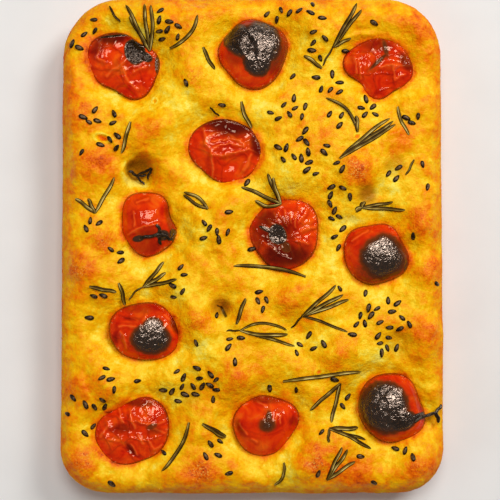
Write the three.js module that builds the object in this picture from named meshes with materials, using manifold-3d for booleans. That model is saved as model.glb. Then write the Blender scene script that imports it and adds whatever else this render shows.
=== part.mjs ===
// Rosemary focaccia: a pan-baked flatbread with dimpled dough, whole cherry tomatoes pressed
// into it, black sesame seeds and sprigs of rosemary.
// Millimetres, +Z up, origin under the middle of the flat base, +Y towards the far end.
import * as THREE from "three";
import { mergeVertices } from "three/addons/utils/BufferGeometryUtils.js";
import Module from "manifold-3d";

const wasm = await Module();
wasm.setup();
const { Manifold } = wasm;

// Driving dimensions of the loaf.
const WIDTH = 150;
const LENGTH = 195;
const CORNER_RADIUS_FAR = 23;
const CORNER_RADIUS_NEAR = 18.5;
const CROWN = 25; // height of the level dough between the hills
const DOMING = 1.6; // how much the middle stands above the rim
const TAPER = 0.009; // the near end is this share wider than the middle
const SHOULDER_RUN = 9.5; // the top rounds over to the side across this width
const SHOULDER_RISE = 9;
const BASE_INSET = 4; // the pan's sides lean in this far towards the base
const BASE_ROUND = 2.2;
const GRID = [24, 32]; // cells of the top, across and along
const SHOULDER_STEPS = 3;

// Hills of risen dough: x, y, reach, rise.
const HILLS = [
  [-67, 72, 9, 1.9],
  [-68, 53, 9, 2.6],
  [-63, 33, 9, 2.9],
  [-40, 46, 10, 3.6],
  [-58, 3, 10, 3.1],
  [-67, -9, 9, 2.4],
  [-27, 88, 12, 2.4],
  [-22, 66, 9, 2.6],
  [41, 30, 9, 4.3],
  [63, 86, 11, 2.2],
  [65, 9, 9, 3.1],
  [69, -9, 8, 2.4],
  [-22, -30, 9, 3.8],
  [14, -19, 12, 3.1],
  [-12, 10, 11, 2.9],
  [-6, -51, 10, 4.3],
  [-66, -84, 10, 2.9],
  [-19, -88, 11, 3.6],
  [25, -84, 11, 4.1],
  [-56, -56, 10, 3.1],
  [68, -34, 9, 2.9],
  [34, -41, 10, 2.6],
  [66, -86, 10, 2.6],
  [27, 45, 10, 2.4],
  [27, 85, 10, 1.9],
  [14, 28, 10, 1.9],
];

// Finger dimples with nothing in them: x, y, reach, depth, and how steep the wall is.
const DIMPLES = [
  [-43.4, 28.8, 6.3, 6.5, 4],
  [-11.4, -25, 3.6, 3.6, 2],
  [-12, -24, 7, 2, 2],
  [46, 20, 6, 2.6, 2],
  [56, 31, 6, 2.4, 2],
  [-23, -57, 6, 2.4, 2],
  [57, -39, 6, 2.6, 2],
  [40, -25, 6, 2.2, 2],
  [19, -31, 7, 2.6, 2],
  [35, -60, 8, 2.0, 2],
  [-26, 22, 10, 1.8, 2],
  [-34, 62, 9, 1.6, 2],
  [30, 66, 10, 1.8, 2],
  [-66, -33, 8, 1.6, 2],
];

// Cherry tomatoes: middle in plan, mean radius, and height of the dome above the rim. Lobes are the
// waves of the outline: count, share of the radius, heading. Hollows are where the flesh has sunk:
// x and y from the middle, reach, depth.
const TOMATOES = [
  {
    at: [-50.4, 71.0],
    radius: 13.2,
    dome: 4.5,
    lobes: [[2, 0.152, -32], [3, 0.022, 39], [4, 0.034, 21], [5, 0.035, 8]],
    hollows: [[-3.7, 4.7, 3.5, 0.9], [6.6, -5.9, 4, 1.2], [-5, -4.4, 4, 1.0], [10, -0.4, 3, 0.8]],
  },
  {
    at: [0.6, 75.3],
    radius: 13.5,
    dome: 7.5,
    lobes: [[2, 0.016, 60], [3, 0.036, 39], [4, 0.033, 10], [5, 0.022, 33]],
    hollows: [[-4.5, -6.5, 3.5, 0.8]],
  },
  {
    at: [49.9, 70.2],
    radius: 12.3,
    dome: 4.3,
    lobes: [[2, 0.071, -17], [3, 0.05, 35], [4, 0.074, -9], [5, 0.034, -30]],
    hollows: [[1.2, -5.8, 4.5, 1.1], [-5.6, 0.5, 4, 0.9], [9.4, 1.4, 3, 1.0], [2.2, 4.5, 4, 0.8]],
  },
  {
    at: [-10.4, 37.4],
    radius: 13.4,
    dome: 4.2,
    lobes: [[2, 0.081, -18], [3, 0.028, 38], [4, 0.024, -6], [5, 0.009, -34]],
    hollows: [[2.4, -5.7, 5, 1.9], [0, 7.4, 6, 1.3], [-10, -1.2, 4, 0.6], [9, -4, 3, 0.6]],
  },
  {
    at: [-40.8, 8.6],
    radius: 11.7,
    dome: 6.5,
    lobes: [[2, 0.121, -75], [3, 0.017, -18], [4, 0.028, -27], [5, 0.042, -18]],
    hollows: [[-1, -6.5, 5, 1.5]],
  },
  {
    at: [12.9, 4.7],
    radius: 13.9,
    dome: 4.6,
    lobes: [[2, 0.03, 65], [3, 0.045, 46], [4, 0.01, -16], [5, 0.02, -32]],
    hollows: [[-2.8, -0.4, 4.5, 2.0], [1.1, -6.6, 4, 1.2], [-8.6, -1.6, 4, 1.0], [6.9, 1.4, 3, 0.7]],
  },
  {
    at: [48.3, -3.2],
    radius: 12.5,
    dome: 7,
    lobes: [[2, 0.046, -16], [3, 0.017, -15], [4, 0.047, -26], [5, 0.021, -12]],
    hollows: [],
  },
  {
    at: [-42.0, -33.6],
    radius: 12.8,
    dome: 6.3,
    lobes: [[2, 0.109, -8], [3, 0.013, -46], [4, 0.021, -25], [5, 0.005, 5]],
    hollows: [[-6.9, 3.4, 3.5, 1.1], [-11, -2.9, 2.6, 1.3], [-8.5, -6, 3, 0.6]],
  },
  {
    at: [-46.6, -72.6],
    radius: 13.8,
    dome: 4.4,
    lobes: [[2, 0.112, 28], [3, 0.028, -57], [4, 0.021, -23], [5, 0.011, 31]],
    hollows: [[-5.6, 1.7, 4, 1.2], [2.4, 0.7, 3.5, 1.0], [-1.6, -6.3, 4.5, 1.2], [7.4, -4.3, 3, 0.8]],
  },
  {
    at: [5.0, -70.0],
    radius: 12.3,
    dome: 5.8,
    lobes: [[2, 0.06, 26], [3, 0.05, 23], [4, 0.023, 16], [5, 0.018, 20]],
    hollows: [[-1, -6, 4, 0.5]],
  },
  {
    at: [54.6, -63.6],
    radius: 13.4,
    dome: 8,
    lobes: [[2, 0.06, -62], [3, 0.025, -35], [4, 0.027, -28], [5, 0.02, -21]],
    hollows: [[0, -5.6, 4, 0.8], [6.5, 3.5, 3.5, 0.7]],
  },
];
const TOMATO_BURIED = 12; // depth of the body below its rim
const TOMATO_SUNK = 1; // the rim lies this far under the dough beside it
const TOMATO_SIDES = 18;
const SKIN_RINGS = 3; // rings from the pole to the rim, above
const BODY_RINGS = 2; // and below
const PRESS_DEPTH = 3.4; // the dough dips this much beside a tomato
const PRESS_RUN = 6;
const POCKET_GAP = 0.35;

// Rosemary: foot in plan, and for each leaf its heading in degrees, its length, the share of its
// length that it bows to its left, and its breadth as a share of a full leaf's where it is another.
const SPRIGS = [
  {
    name: "far_left_fan",
    foot: [-40.0, 76.0],
    leaves: [[117, 20.5, 0], [120, 15.6, 0], [97, 18.5, 0], [88, 17.9, -0.05]],
  },
  { name: "far_left_curl", foot: [-32.0, 77.0], leaves: [[49, 16.8, -0.14]] },
  { name: "far_left_short", foot: [-19.0, 77.4], leaves: [[-63, 9.6, -0.03]] },
  { name: "corner_thread", foot: [-55.7, 93.8], leaves: [[-57, 7.7, -0.05, 0.6]] },
  { name: "upper_thread", foot: [-16.4, 54.0], leaves: [[-44, 4.9, 0, 0.5]] },
  { name: "left_upper_bar", foot: [-47.2, 48.2], leaves: [[-106, 12.7, 0]] },
  { name: "beside_tomato", foot: [-4.1, 56.4], leaves: [[-68, 11.2, -0.07]] },
  {
    name: "far_right_fan",
    foot: [31.6, 77.6],
    leaves: [[61, 19.5, 0], [53, 18.3, 0], [28, 7.9, 0, 0.8], [-120, 8.3, 0, 0.5]],
  },
  { name: "far_right_twig", foot: [27.3, 69.4], leaves: [[144, 8.6, 0]] },
  { name: "right_upper_fork", foot: [41.0, 44.3], leaves: [[132, 18.2, -0.15, 0.8], [93, 6.4, 0]] },
  { name: "right_bundle", foot: [34.0, 34.0], leaves: [[39, 25.3, 0.02], [35, 25.7, 0], [31, 25.7, 0]] },
  { name: "right_edge_curve", foot: [56.9, 54.4], leaves: [[-68, 12.0, -0.07, 0.85]] },
  { name: "right_thread", foot: [63.2, 33.7], leaves: [[-117, 7.0, 0, 0.6]] },
  { name: "left_v", foot: [-61.1, 12.8], leaves: [[143, 9.7, 0], [117, 6.3, 0], [61, 15.8, 0]] },
  { name: "mid_loop", foot: [-17.2, 14.4], leaves: [[145, 11.5, -0.12, 0.85], [149, 11.1, 0.07, 0.85]] },
  {
    name: "left_sprig",
    foot: [-42.5, -16.0],
    leaves: [[50, 12.7, 0], [31, 10.5, 0], [12, 13.6, 0], [-137, 7.6, -0.1, 0.45]],
  },
  { name: "left_twig", foot: [-51.9, -14.4], leaves: [[-77, 9.2, 0.05]] },
  { name: "left_low_bar", foot: [-63.2, -15.8], leaves: [[-12, 10.7, 0]] },
  {
    name: "tomato_crown",
    foot: [11.3, 16.4],
    leaves: [[156, 16.9, 0], [173, 10.2, 0.15], [115, 12.9, 0], [109, 10.7, 0.01]],
  },
  { name: "long_needle", foot: [20.9, -12.0], leaves: [[172, 28.4, -0.06]] },
  {
    name: "right_pair",
    foot: [42.5, 15.0],
    leaves: [[10, 12.7, 0, 0.8], [-3, 17.2, 0], [-151, 2.4, 0, 1.2], [67, 2.5, 0, 1.2]],
  },
  {
    name: "right_low_sprig",
    foot: [19.5, -27.3],
    leaves: [[42, 17.9, 0], [28, 18.1, 0], [19, 19.4, 0], [-20, 18.7, 0.03, 0.7], [-130, 6.4, 0, 0.5]],
  },
  { name: "mid_fork", foot: [-6.0, -30.4], leaves: [[72, 10.7, 0]] },
  {
    name: "mid_low_loop",
    foot: [-4.5, -32.8],
    leaves: [[-1, 18.1, 0.17, 0.7], [-4, 18.6, -0.06], [-16, 22.1, 0, 0.8], [-178, 5.5, 0, 0.45]],
  },
  { name: "near_bar", foot: [12.1, -52.8], leaves: [[7, 30.8, 0.01]] },
  { name: "near_fork", foot: [34.5, -53.6], leaves: [[-139, 15.9, 0], [-103, 15.6, 0]] },
  {
    name: "near_right_fan",
    foot: [30.0, -71.0],
    leaves: [[-1, 11.5, 0, 1.2], [-18, 15.2, 0, 0.8], [-27, 18.4, 0.04], [-95, 5.3, 0, 0.7]],
  },
  { name: "near_edge_fan", foot: [29.1, -90.9], leaves: [[66, 14.1, 0], [55, 14.3, 0], [33, 13.1, 0]] },
  { name: "near_hook", foot: [12.4, -84.4], leaves: [[-111, 9.8, 0.16, 0.8]] },
  { name: "near_left_curve", foot: [-24.6, -68.8], leaves: [[-120, 21.7, 0.09]] },
  { name: "near_left_pair", foot: [-19.3, -69.2], leaves: [[-28, 10.6, 0], [-33, 10.6, 0]] },
];
// The dried-up tomato stalk that lies in the deep dimple, in two joined parts.
const BURNT_STALK = [
  {
    foot: [-45.6, 27.7],
    leaves: [[144, 3.4, 0, 0.9], [0, 3.9, 0, 0.7], [24, 6.8, 0, 0.7], [-50, 4.8, 0, 0.7]],
  },
  { foot: [-39.4, 30.4], leaves: [[-114, 4.7, 0, 0.8], [-156, 5, 0, 0.7]] },
];
const LEAF_WIDTH = 1.5;
const LEAF_THICKNESS = 0.9;
const LEAF_STEP_LENGTH = 5; // a leaf has at least three steps of about this length
const LEAF_CLEARANCE = 0.44; // air between a leaf and the dough's facets
const STALK_CLEARANCE = 0.95; // and under the stalk in the deep dimple
const LEAF_SAG = 0.35; // steepest slope at which a leaf settles into a dip
const BUD_RADIUS = 1;

// The stalk still on one tomato, and the dried calyx on another: each a foot and its leaves.
const STALKED_TOMATO = 10;
const STALK = { foot: [71.6, -65.1], leaves: [[200, 9.3, -0.04], [49, 4, 0], [-66, 4.3, 0, 1.2]] };
const CROWNED_TOMATO = 4;
const CALYX = { foot: [-35.5, 4.7], leaves: [[193, 8.8, 0], [107, 4.1, 0], [-95, 4.3, 0], [-27, 5.2, 0]] };
const SKIN_SINK = 0.1; // the middle of a stalk's leaf lies this far under the skin that it clings to

// Black sesame: drifts of seed, each x, y, reach, count. Where the seeds of a drift lie is drawn, partly in
// clumps, and so are the loose seeds between.
const SEED_DRIFTS = [
  [-64, 77, 10, 5], [-40, 92, 7, 5], [-32, 82, 4, 3], [-60, 44, 10, 11], [-14, 8, 8, 7], [-61, 5, 6, 3], [10, 92, 7, 4],
  [25, 91, 4, 4], [30, 77, 7, 6], [29, 61, 7, 6], [15, 51, 5, 8], [31, 50, 5, 3], [44, 52, 4, 5], [64, 50, 4, 3],
  [14, 39, 7, 7], [26, 33, 7, 9], [57, 27, 4, 3], [33, 17, 6, 8], [31, 2, 7, 3], [-52, -11, 13, 5], [-29, -13, 7, 5],
  [-55, -50, 4, 4], [-67, -64, 9, 8], [-31, -54, 7, 8], [-18, -52, 6, 9], [-5, -41, 5, 4], [-13, -83, 8, 5], [48, -22, 9, 10],
  [7, -21, 8, 4], [56, -36, 8, 8], [41, -32, 5, 4], [17, -42, 9, 5], [56, -83, 7, 3], [38, -65, 4, 2],
];
const SEED_LENGTH = 3.4;
const SEED_WIDTH = 2.1;
const SEED_THICKNESS = 1.3;
const SEED_BEDDED = 0.33; // share of its thickness below the dough
const SEED_SIDES = 5;
const SEED_RINGS = 3;
const SEED_APART = 2.8; // nearer than this to another seed, it is left out
const SEED_EDGE = 2.5; // nearest that a seed lies to the outline
const SEED_RIM = 1.03; // and to a tomato, as a share of its outline
const SEED_TRIES = 9; // places tried for each seed of a drift
const SEED_CLUMPED = 0.4; // share of them that lie beside an earlier one of the drift
const SEED_STEP = 2.9; // and how far from it at least
const LOOSE_TRIES = 110;
const LOOSE_APART = 8.5;
const SEED_BESIDE = 1.9; // nearest that a seed lies to the middle of a leaf
const SEED_MARGIN = 2.6; // and nearest to tomatoes and leaves for one that is modelled
const LEAF_PLACES = 15; // places along a leaf that are kept clear
const SEED_CAP = 100;
const RANDOM_START = 20931;

const WELD = 0.01;

const radians = THREE.MathUtils.degToRad;
const towards = (heading) => [Math.cos(radians(heading)), Math.sin(radians(heading))];

function randomSource(start) {
  let state = start;
  return () => {
    state = (Math.imul(state, 1664525) + 1013904223) >>> 0;
    return state / 4294967296;
  };
}

// A tomato's outline radius at an angle in plan.
function outlineRadius(tomato, angle) {
  let swell = 1;
  for (const [count, share, heading] of tomato.lobes) {
    swell += share * Math.cos(count * (angle - radians(heading)));
  }
  return tomato.radius * swell;
}

// How far a point is from a tomato's middle, as a share of the outline radius.
function shareOut(tomato, x, y) {
  const dx = x - tomato.at[0];
  const dy = y - tomato.at[1];
  return Math.hypot(dx, dy) / outlineRadius(tomato, Math.atan2(dy, dx));
}

function doughHeight(x, y) {
  const u = x / (WIDTH / 2);
  const v = y / (LENGTH / 2);
  let z = CROWN + DOMING * (1 - u ** 2) * (1 - v ** 2);
  z += 0.45 * Math.sin(x / 6.1 + 1.3) * Math.sin(y / 7.3 + 0.4);
  z += 0.3 * Math.sin(x / 3.9 + y / 5.7);
  for (const [cx, cy, reach, rise] of HILLS) {
    z += rise * Math.exp(-((x - cx) ** 2 + (y - cy) ** 2) / reach ** 2);
  }
  for (const [cx, cy, reach, depth, steep] of DIMPLES) {
    z -= depth * Math.exp(-((Math.hypot(x - cx, y - cy) / reach) ** steep));
  }
  for (const tomato of TOMATOES) {
    const beyond = Math.max(0, shareOut(tomato, x, y) - 1) * tomato.radius;
    z -= PRESS_DEPTH * Math.exp(-((beyond / PRESS_RUN) ** 2));
  }
  return z;
}

const cornerRadius = (y) => (y > 0 ? CORNER_RADIUS_FAR : CORNER_RADIUS_NEAR);

// How far a point of the plan lies inside the loaf's outline.
function insetAt(x, y) {
  const r = cornerRadius(y);
  const taper = 1 - (TAPER * y) / (LENGTH / 2);
  const px = Math.abs(x / taper) - (WIDTH / 2 - r);
  const py = Math.abs(y) - (LENGTH / 2 - r);
  return r - Math.hypot(Math.max(px, 0), Math.max(py, 0)) - Math.min(Math.max(px, py), 0);
}

// The dough's top, which rounds over at the shoulder.
function crustHeight(x, y) {
  const share = 1 - Math.max(0, insetAt(x, y)) / SHOULDER_RUN;
  if (share <= 0) return doughHeight(x, y);
  return doughHeight(x, y) - SHOULDER_RISE * (1 - Math.sqrt(1 - share ** 2));
}

// Height of a tomato's rim: the mean of the dough around it, less its sinking.
function rimHeight(tomato) {
  let sum = 0;
  for (let i = 0; i < TOMATO_SIDES; i++) {
    const angle = (i / TOMATO_SIDES) * 2 * Math.PI;
    const r = outlineRadius(tomato, angle);
    sum += doughHeight(tomato.at[0] + r * Math.cos(angle), tomato.at[1] + r * Math.sin(angle));
  }
  return sum / TOMATO_SIDES - TOMATO_SUNK;
}

// The skin above the rim: a dome, with hollows where the flesh has sunk.
function skinHeight(tomato, x, y) {
  const share = Math.min(1, shareOut(tomato, x, y));
  let z = tomato.rim + (tomato.dome + TOMATO_SUNK) * Math.pow(1 - share ** 2, 0.55);
  for (const [dx, dy, reach, depth] of tomato.hollows) {
    const away = Math.hypot(x - tomato.at[0] - dx, y - tomato.at[1] - dy);
    z -= depth * Math.exp(-((away / reach) ** 2)) * (1 - share ** 4);
  }
  return z;
}

for (const tomato of TOMATOES) tomato.rim = rimHeight(tomato);

// The upper surface of dough and tomatoes together.
function surfaceHeight(x, y) {
  let z = crustHeight(x, y);
  for (const tomato of TOMATOES) {
    if (shareOut(tomato, x, y) < 1) z = skinHeight(tomato, x, y);
  }
  return z;
}

// A solid from points and triangles.
function solidFrom(points, triangles) {
  return new Manifold(
    new wasm.Mesh({
      numProp: 3,
      vertProperties: new Float32Array(points.flat()),
      triVerts: new Uint32Array(triangles.flat()),
    }),
  );
}

// A solid skinned through closed rings of points, with a flat or pointed cap at each end.
function loft(rings) {
  const count = rings[0].length;
  const points = rings.flat();
  const triangles = [];
  for (let k = 0; k + 1 < rings.length; k++) {
    for (let i = 0; i < count; i++) {
      const a = k * count + i;
      const b = k * count + ((i + 1) % count);
      triangles.push([a, b, b + count], [a, b + count, a + count]);
    }
  }
  const last = (rings.length - 1) * count;
  for (let i = 1; i + 1 < count; i++) {
    triangles.push([0, i + 1, i], [last, last + i, last + i + 1]);
  }
  return solidFrom(points, triangles);
}

// The loaf's outline in plan for a point of the unit square's border, drawn in by an inset.
function outlinePoint(u, v, inset) {
  const a = WIDTH / 2 - inset;
  const b = LENGTH / 2 - inset;
  const r = cornerRadius(v) - inset;
  let x = Math.abs(a * u);
  let y = Math.abs(b * v);
  const fromCorner = (a - x + b - y) / r;
  if (fromCorner < 1) {
    const swing = (Math.PI / 4) * (1 + (Math.abs(v) === 1 ? fromCorner : -fromCorner));
    x = a - r + r * Math.cos(swing);
    y = b - r + r * Math.sin(swing);
  }
  const taper = 1 - TAPER * v;
  return [Math.sign(u) * x * taper, Math.sign(v) * y];
}

function breadPoint(u, v) {
  const ring = Math.max(Math.abs(u), Math.abs(v));
  if (ring === 0) return [0, 0, doughHeight(0, 0)];
  const [x, y] = outlinePoint(u / ring, v / ring, SHOULDER_RUN);
  return [x * ring, y * ring, doughHeight(x * ring, y * ring)];
}

// The side below the top grid: the rounded shoulder, the wall and the rounded base edge.
function sidePoints(u, v) {
  const points = [];
  for (let k = 1; k <= SHOULDER_STEPS; k++) {
    const turn = ((k / SHOULDER_STEPS) * Math.PI) / 2;
    const [x, y] = outlinePoint(u, v, SHOULDER_RUN * (1 - Math.sin(turn)));
    points.push([x, y, doughHeight(x, y) - SHOULDER_RISE * (1 - Math.cos(turn))]);
  }
  const widest = points[points.length - 1][2];
  const middle = outlinePoint(u, v, BASE_INSET * 0.35);
  const low = outlinePoint(u, v, BASE_INSET);
  const foot = outlinePoint(u, v, BASE_INSET + BASE_ROUND);
  points.push([...middle, widest * 0.55], [...low, BASE_ROUND], [...foot, 0]);
  return points;
}

function plainLoaf() {
  const [nx, ny] = GRID;
  const points = [];
  const triangles = [];
  const square = (i, j) => [(2 * i) / nx - 1, (2 * j) / ny - 1];
  const at = (i, j) => j * (nx + 1) + i;
  for (let j = 0; j <= ny; j++) {
    for (let i = 0; i <= nx; i++) points.push(breadPoint(...square(i, j)));
  }
  for (let j = 0; j < ny; j++) {
    for (let i = 0; i < nx; i++) {
      const [a, b, c, d] = [at(i, j), at(i + 1, j), at(i + 1, j + 1), at(i, j + 1)];
      triangles.push([a, b, c], [a, c, d]);
    }
  }
  const border = [];
  for (let i = 0; i < nx; i++) border.push([i, 0]);
  for (let j = 0; j < ny; j++) border.push([nx, j]);
  for (let i = nx; i > 0; i--) border.push([i, ny]);
  for (let j = ny; j > 0; j--) border.push([0, j]);
  let ring = border.map(([i, j]) => at(i, j));
  const columns = border.map(([i, j]) => sidePoints(...square(i, j)));
  for (let k = 0; k < columns[0].length; k++) {
    const next = columns.map((column) => points.push(column[k]) - 1);
    for (let i = 0; i < ring.length; i++) {
      const m = (i + 1) % ring.length;
      triangles.push([ring[i], next[i], next[m]], [ring[i], next[m], ring[m]]);
    }
    ring = next;
  }
  const middle = points.push([0, 0, 0]) - 1;
  for (let i = 0; i < ring.length; i++) {
    triangles.push([ring[i], middle, ring[(i + 1) % ring.length]]);
  }
  return solidFrom(points, triangles);
}

// One closed tomato body. A pocket is the same body grown by a gap and open upwards.
function tomatoBody(tomato, gap = 0) {
  const [cx, cy] = tomato.at;
  const points = [];
  const triangles = [];
  const ringAt = (share, height) => {
    const first = points.length;
    for (let i = 0; i < TOMATO_SIDES; i++) {
      const angle = (i / TOMATO_SIDES) * 2 * Math.PI;
      const r = (outlineRadius(tomato, angle) + gap) * share;
      const x = cx + r * Math.cos(angle);
      const y = cy + r * Math.sin(angle);
      points.push([x, y, height(x, y, share)]);
    }
    return first;
  };
  const above = (x, y) => (gap > 0 ? CROWN * 2 : skinHeight(tomato, x, y));
  const below = (x, y, share) => tomato.rim - (TOMATO_BURIED + gap) * Math.sqrt(1 - share ** 2);
  const firsts = [];
  for (let k = 1; k < SKIN_RINGS; k++) {
    firsts.push(ringAt(Math.sin((k / SKIN_RINGS) * (Math.PI / 2)), above));
  }
  if (gap > 0) firsts.push(ringAt(1, above));
  firsts.push(ringAt(1, () => tomato.rim));
  for (let k = BODY_RINGS - 1; k > 0; k--) {
    firsts.push(ringAt(Math.sin((k / BODY_RINGS) * (Math.PI / 2)), below));
  }
  const top = points.push([cx, cy, above(cx, cy)]) - 1;
  const bottom = points.push([cx, cy, below(cx, cy, 0)]) - 1;
  for (let i = 0; i < TOMATO_SIDES; i++) {
    const m = (i + 1) % TOMATO_SIDES;
    triangles.push([top, firsts[0] + i, firsts[0] + m]);
    triangles.push([bottom, firsts.at(-1) + m, firsts.at(-1) + i]);
    for (let k = 0; k + 1 < firsts.length; k++) {
      const [a, b] = [firsts[k], firsts[k + 1]];
      triangles.push([a + i, b + i, b + m], [a + i, b + m, a + m]);
    }
  }
  return solidFrom(points, triangles);
}

// A point of a leaf in plan, at a share of its length.
function leafPoint(foot, [heading, length, bow], share) {
  const [dx, dy] = towards(heading);
  const along = share * length;
  const aside = 4 * share * (1 - share) * bow * length;
  return [foot[0] + dx * along - dy * aside, foot[1] + dy * along + dx * aside];
}

function leafStations(foot, leaf) {
  const steps = Math.max(3, Math.round(leaf[1] / LEAF_STEP_LENGTH));
  return Array.from({ length: steps + 1 }, (_, k) => leafPoint(foot, leaf, k / steps));
}

// A leaf's path, at the height at which it lies: over the hills and across the dips.
function leafPath(foot, leaf, clearance, footFloor = 0) {
  const stations = leafStations(foot, leaf);
  const ground = stations.map(([x, y]) => {
    const reach = LEAF_WIDTH * 0.6;
    const around = [[0, 0], [reach, 0], [-reach, 0], [0, reach], [0, -reach]];
    return Math.max(...around.map(([ox, oy]) => surfaceHeight(x + ox, y + oy)));
  });
  ground[0] = Math.max(ground[0], footFloor);
  const step = leaf[1] / (stations.length - 1);
  return stations.map(([x, y], k) => {
    const held = ground.map((g, j) => g - LEAF_SAG * Math.abs(j - k) * step);
    return [x, y, Math.max(...held) + clearance + LEAF_THICKNESS / 2];
  });
}

// A stalk's leaf: sunk into the skin it clings to, and clear of the dough beyond.
function clingingPath(foot, leaf, tomato) {
  const reach = LEAF_WIDTH * 0.6;
  return leafStations(foot, leaf).map(([x, y]) => {
    if (shareOut(tomato, x, y) < 1) return [x, y, skinHeight(tomato, x, y) - SKIN_SINK];
    const around = [[reach, 0], [-reach, 0], [0, reach], [0, -reach]];
    const ground = Math.max(...around.map(([ox, oy]) => crustHeight(x + ox, y + oy)));
    return [x, y, ground + LEAF_CLEARANCE + LEAF_THICKNESS / 2];
  });
}

// A thin leaf along a path: a four-sided section that tapers to both ends.
function leafSolid(path, [heading, , , breadth = 1]) {
  const [dx, dy] = towards(heading);
  const rings = path.map(([x, y, z], k) => {
    const s = k / (path.length - 1);
    const full = 0.35 + 0.65 * Math.sin(Math.PI * Math.min(1, 0.12 + s * 0.84)) ** 0.6;
    const w = (LEAF_WIDTH / 2) * full * breadth;
    const t = (LEAF_THICKNESS / 2) * full;
    return [
      [x - dy * w, y + dx * w, z],
      [x, y, z + t],
      [x + dy * w, y - dx * w, z],
      [x, y, z - t],
    ];
  });
  return loft(rings);
}

// A closed three.js geometry as a solid.
function solidOf(geometry) {
  geometry.deleteAttribute("normal");
  geometry.deleteAttribute("uv");
  const merged = mergeVertices(geometry, 1e-4);
  return new Manifold(
    new wasm.Mesh({
      numProp: 3,
      vertProperties: merged.attributes.position.array,
      triVerts: new Uint32Array(merged.index.array),
    }),
  );
}

// Leaves that grow from one foot, joined by a small bud.
function sprigSolid({ foot, leaves }, clearance = LEAF_CLEARANCE) {
  let paths = leaves.map((leaf) => leafPath(foot, leaf, clearance));
  if (leaves.length === 1) return leafSolid(paths[0], leaves[0]);
  const footTop = Math.max(...paths.map((path) => path[0][2]));
  const footFloor = footTop - clearance - LEAF_THICKNESS / 2;
  paths = leaves.map((leaf) => leafPath(foot, leaf, clearance, footFloor));
  const bud = new THREE.OctahedronGeometry(BUD_RADIUS).scale(1, 1, 0.6);
  let solid = solidOf(bud.translate(foot[0], foot[1], footTop + 0.15));
  paths.forEach((path, i) => {
    solid = solid.add(leafSolid(path, leaves[i]));
  });
  return mainPiece(solid);
}

// Every place that a leaf lies over, as short steps along each leaf.
function leafPlaces() {
  const places = [];
  for (const { foot, leaves } of [...SPRIGS, ...BURNT_STALK, STALK]) {
    for (const leaf of leaves) {
      for (let k = 0; k <= LEAF_PLACES; k++) places.push(leafPoint(foot, leaf, k / LEAF_PLACES));
    }
  }
  return places;
}

// Seeds fall in pinches, none of them on another, on a leaf or over the edge.
function seedPlaces() {
  const random = randomSource(RANDOM_START);
  const leaves = leafPlaces();
  const seeds = [];
  const lay = (x, y, apart) => {
    if (insetAt(x, y) < SEED_EDGE) return false;
    if (seeds.some((seed) => Math.hypot(x - seed.x, y - seed.y) < apart)) return false;
    if (leaves.some(([px, py]) => Math.hypot(x - px, y - py) < SEED_BESIDE)) return false;
    if (TOMATOES.some((tomato) => shareOut(tomato, x, y) < SEED_RIM)) return false;
    seeds.push({ x, y, heading: random() * 360, size: 0.85 + 0.3 * random() });
    return true;
  };
  for (const [cx, cy, reach, count] of SEED_DRIFTS) {
    let placed = 0;
    for (let tries = 0; placed < count && tries < SEED_TRIES * count; tries++) {
      const beside = random() < SEED_CLUMPED && placed > 0;
      const near = seeds[seeds.length - 1 - Math.floor(random() * placed)];
      const angle = random() * 2 * Math.PI;
      const out = beside ? SEED_STEP * (1 + 0.6 * random()) : reach * Math.sqrt(random());
      const x = (beside ? near.x : cx) + out * Math.cos(angle);
      const y = (beside ? near.y : cy) + out * Math.sin(angle);
      if (lay(x, y, SEED_APART)) placed += 1;
    }
  }
  for (let i = 0; i < LOOSE_TRIES; i++) {
    const x = (random() - 0.5) * WIDTH;
    lay(x, (random() - 0.5) * LENGTH, LOOSE_APART);
  }
  return seeds;
}

// The seeds that are modelled: of those clear of every tomato and leaf, the largest.
function modelledSeeds() {
  const leaves = leafPlaces();
  const clear = seedPlaces().filter(({ x, y }) => {
    const byTomato = TOMATOES.some((t) => (shareOut(t, x, y) - 1) * t.radius < SEED_MARGIN);
    return !byTomato && !leaves.some(([px, py]) => Math.hypot(x - px, y - py) < SEED_MARGIN);
  });
  return clear.sort((a, b) => b.size - a.size).slice(0, SEED_CAP);
}

// A sesame seed: flat, blunt at one end and pointed at the other, bedded in the crust.
function seedSolid({ x, y, heading, size }) {
  const e = 0.5;
  const normal = new THREE.Vector3(
    crustHeight(x - e, y) - crustHeight(x + e, y),
    crustHeight(x, y - e) - crustHeight(x, y + e),
    2 * e,
  ).normalize();
  const geometry = new THREE.SphereGeometry(0.5, SEED_SIDES, SEED_RINGS).rotateZ(Math.PI / 2);
  const position = geometry.attributes.position;
  for (let i = 0; i < position.count; i++) {
    const narrowing = 1 - 0.35 * (position.getX(i) + 0.5);
    position.setXYZ(
      i,
      position.getX(i) * SEED_LENGTH * size,
      position.getY(i) * SEED_WIDTH * size * narrowing,
      position.getZ(i) * SEED_THICKNESS * size,
    );
  }
  geometry.rotateZ(radians(heading));
  geometry.applyQuaternion(new THREE.Quaternion().setFromUnitVectors(new THREE.Vector3(0, 0, 1), normal));
  geometry.translate(x, y, crustHeight(x, y) + SEED_THICKNESS * (0.5 - SEED_BEDDED));
  return solidOf(geometry);
}

// The largest piece of a solid, with points that joining left closer than the weld distance merged.
function mainPiece(solid) {
  return solid.decompose().sort((a, b) => b.volume() - a.volume())[0].simplify(WELD);
}

function breadSolid() {
  const pockets = Manifold.union(TOMATOES.map((tomato) => tomatoBody(tomato, POCKET_GAP)));
  const seeds = Manifold.union(modelledSeeds().map(seedSolid));
  return mainPiece(plainLoaf().subtract(pockets).add(seeds));
}

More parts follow.
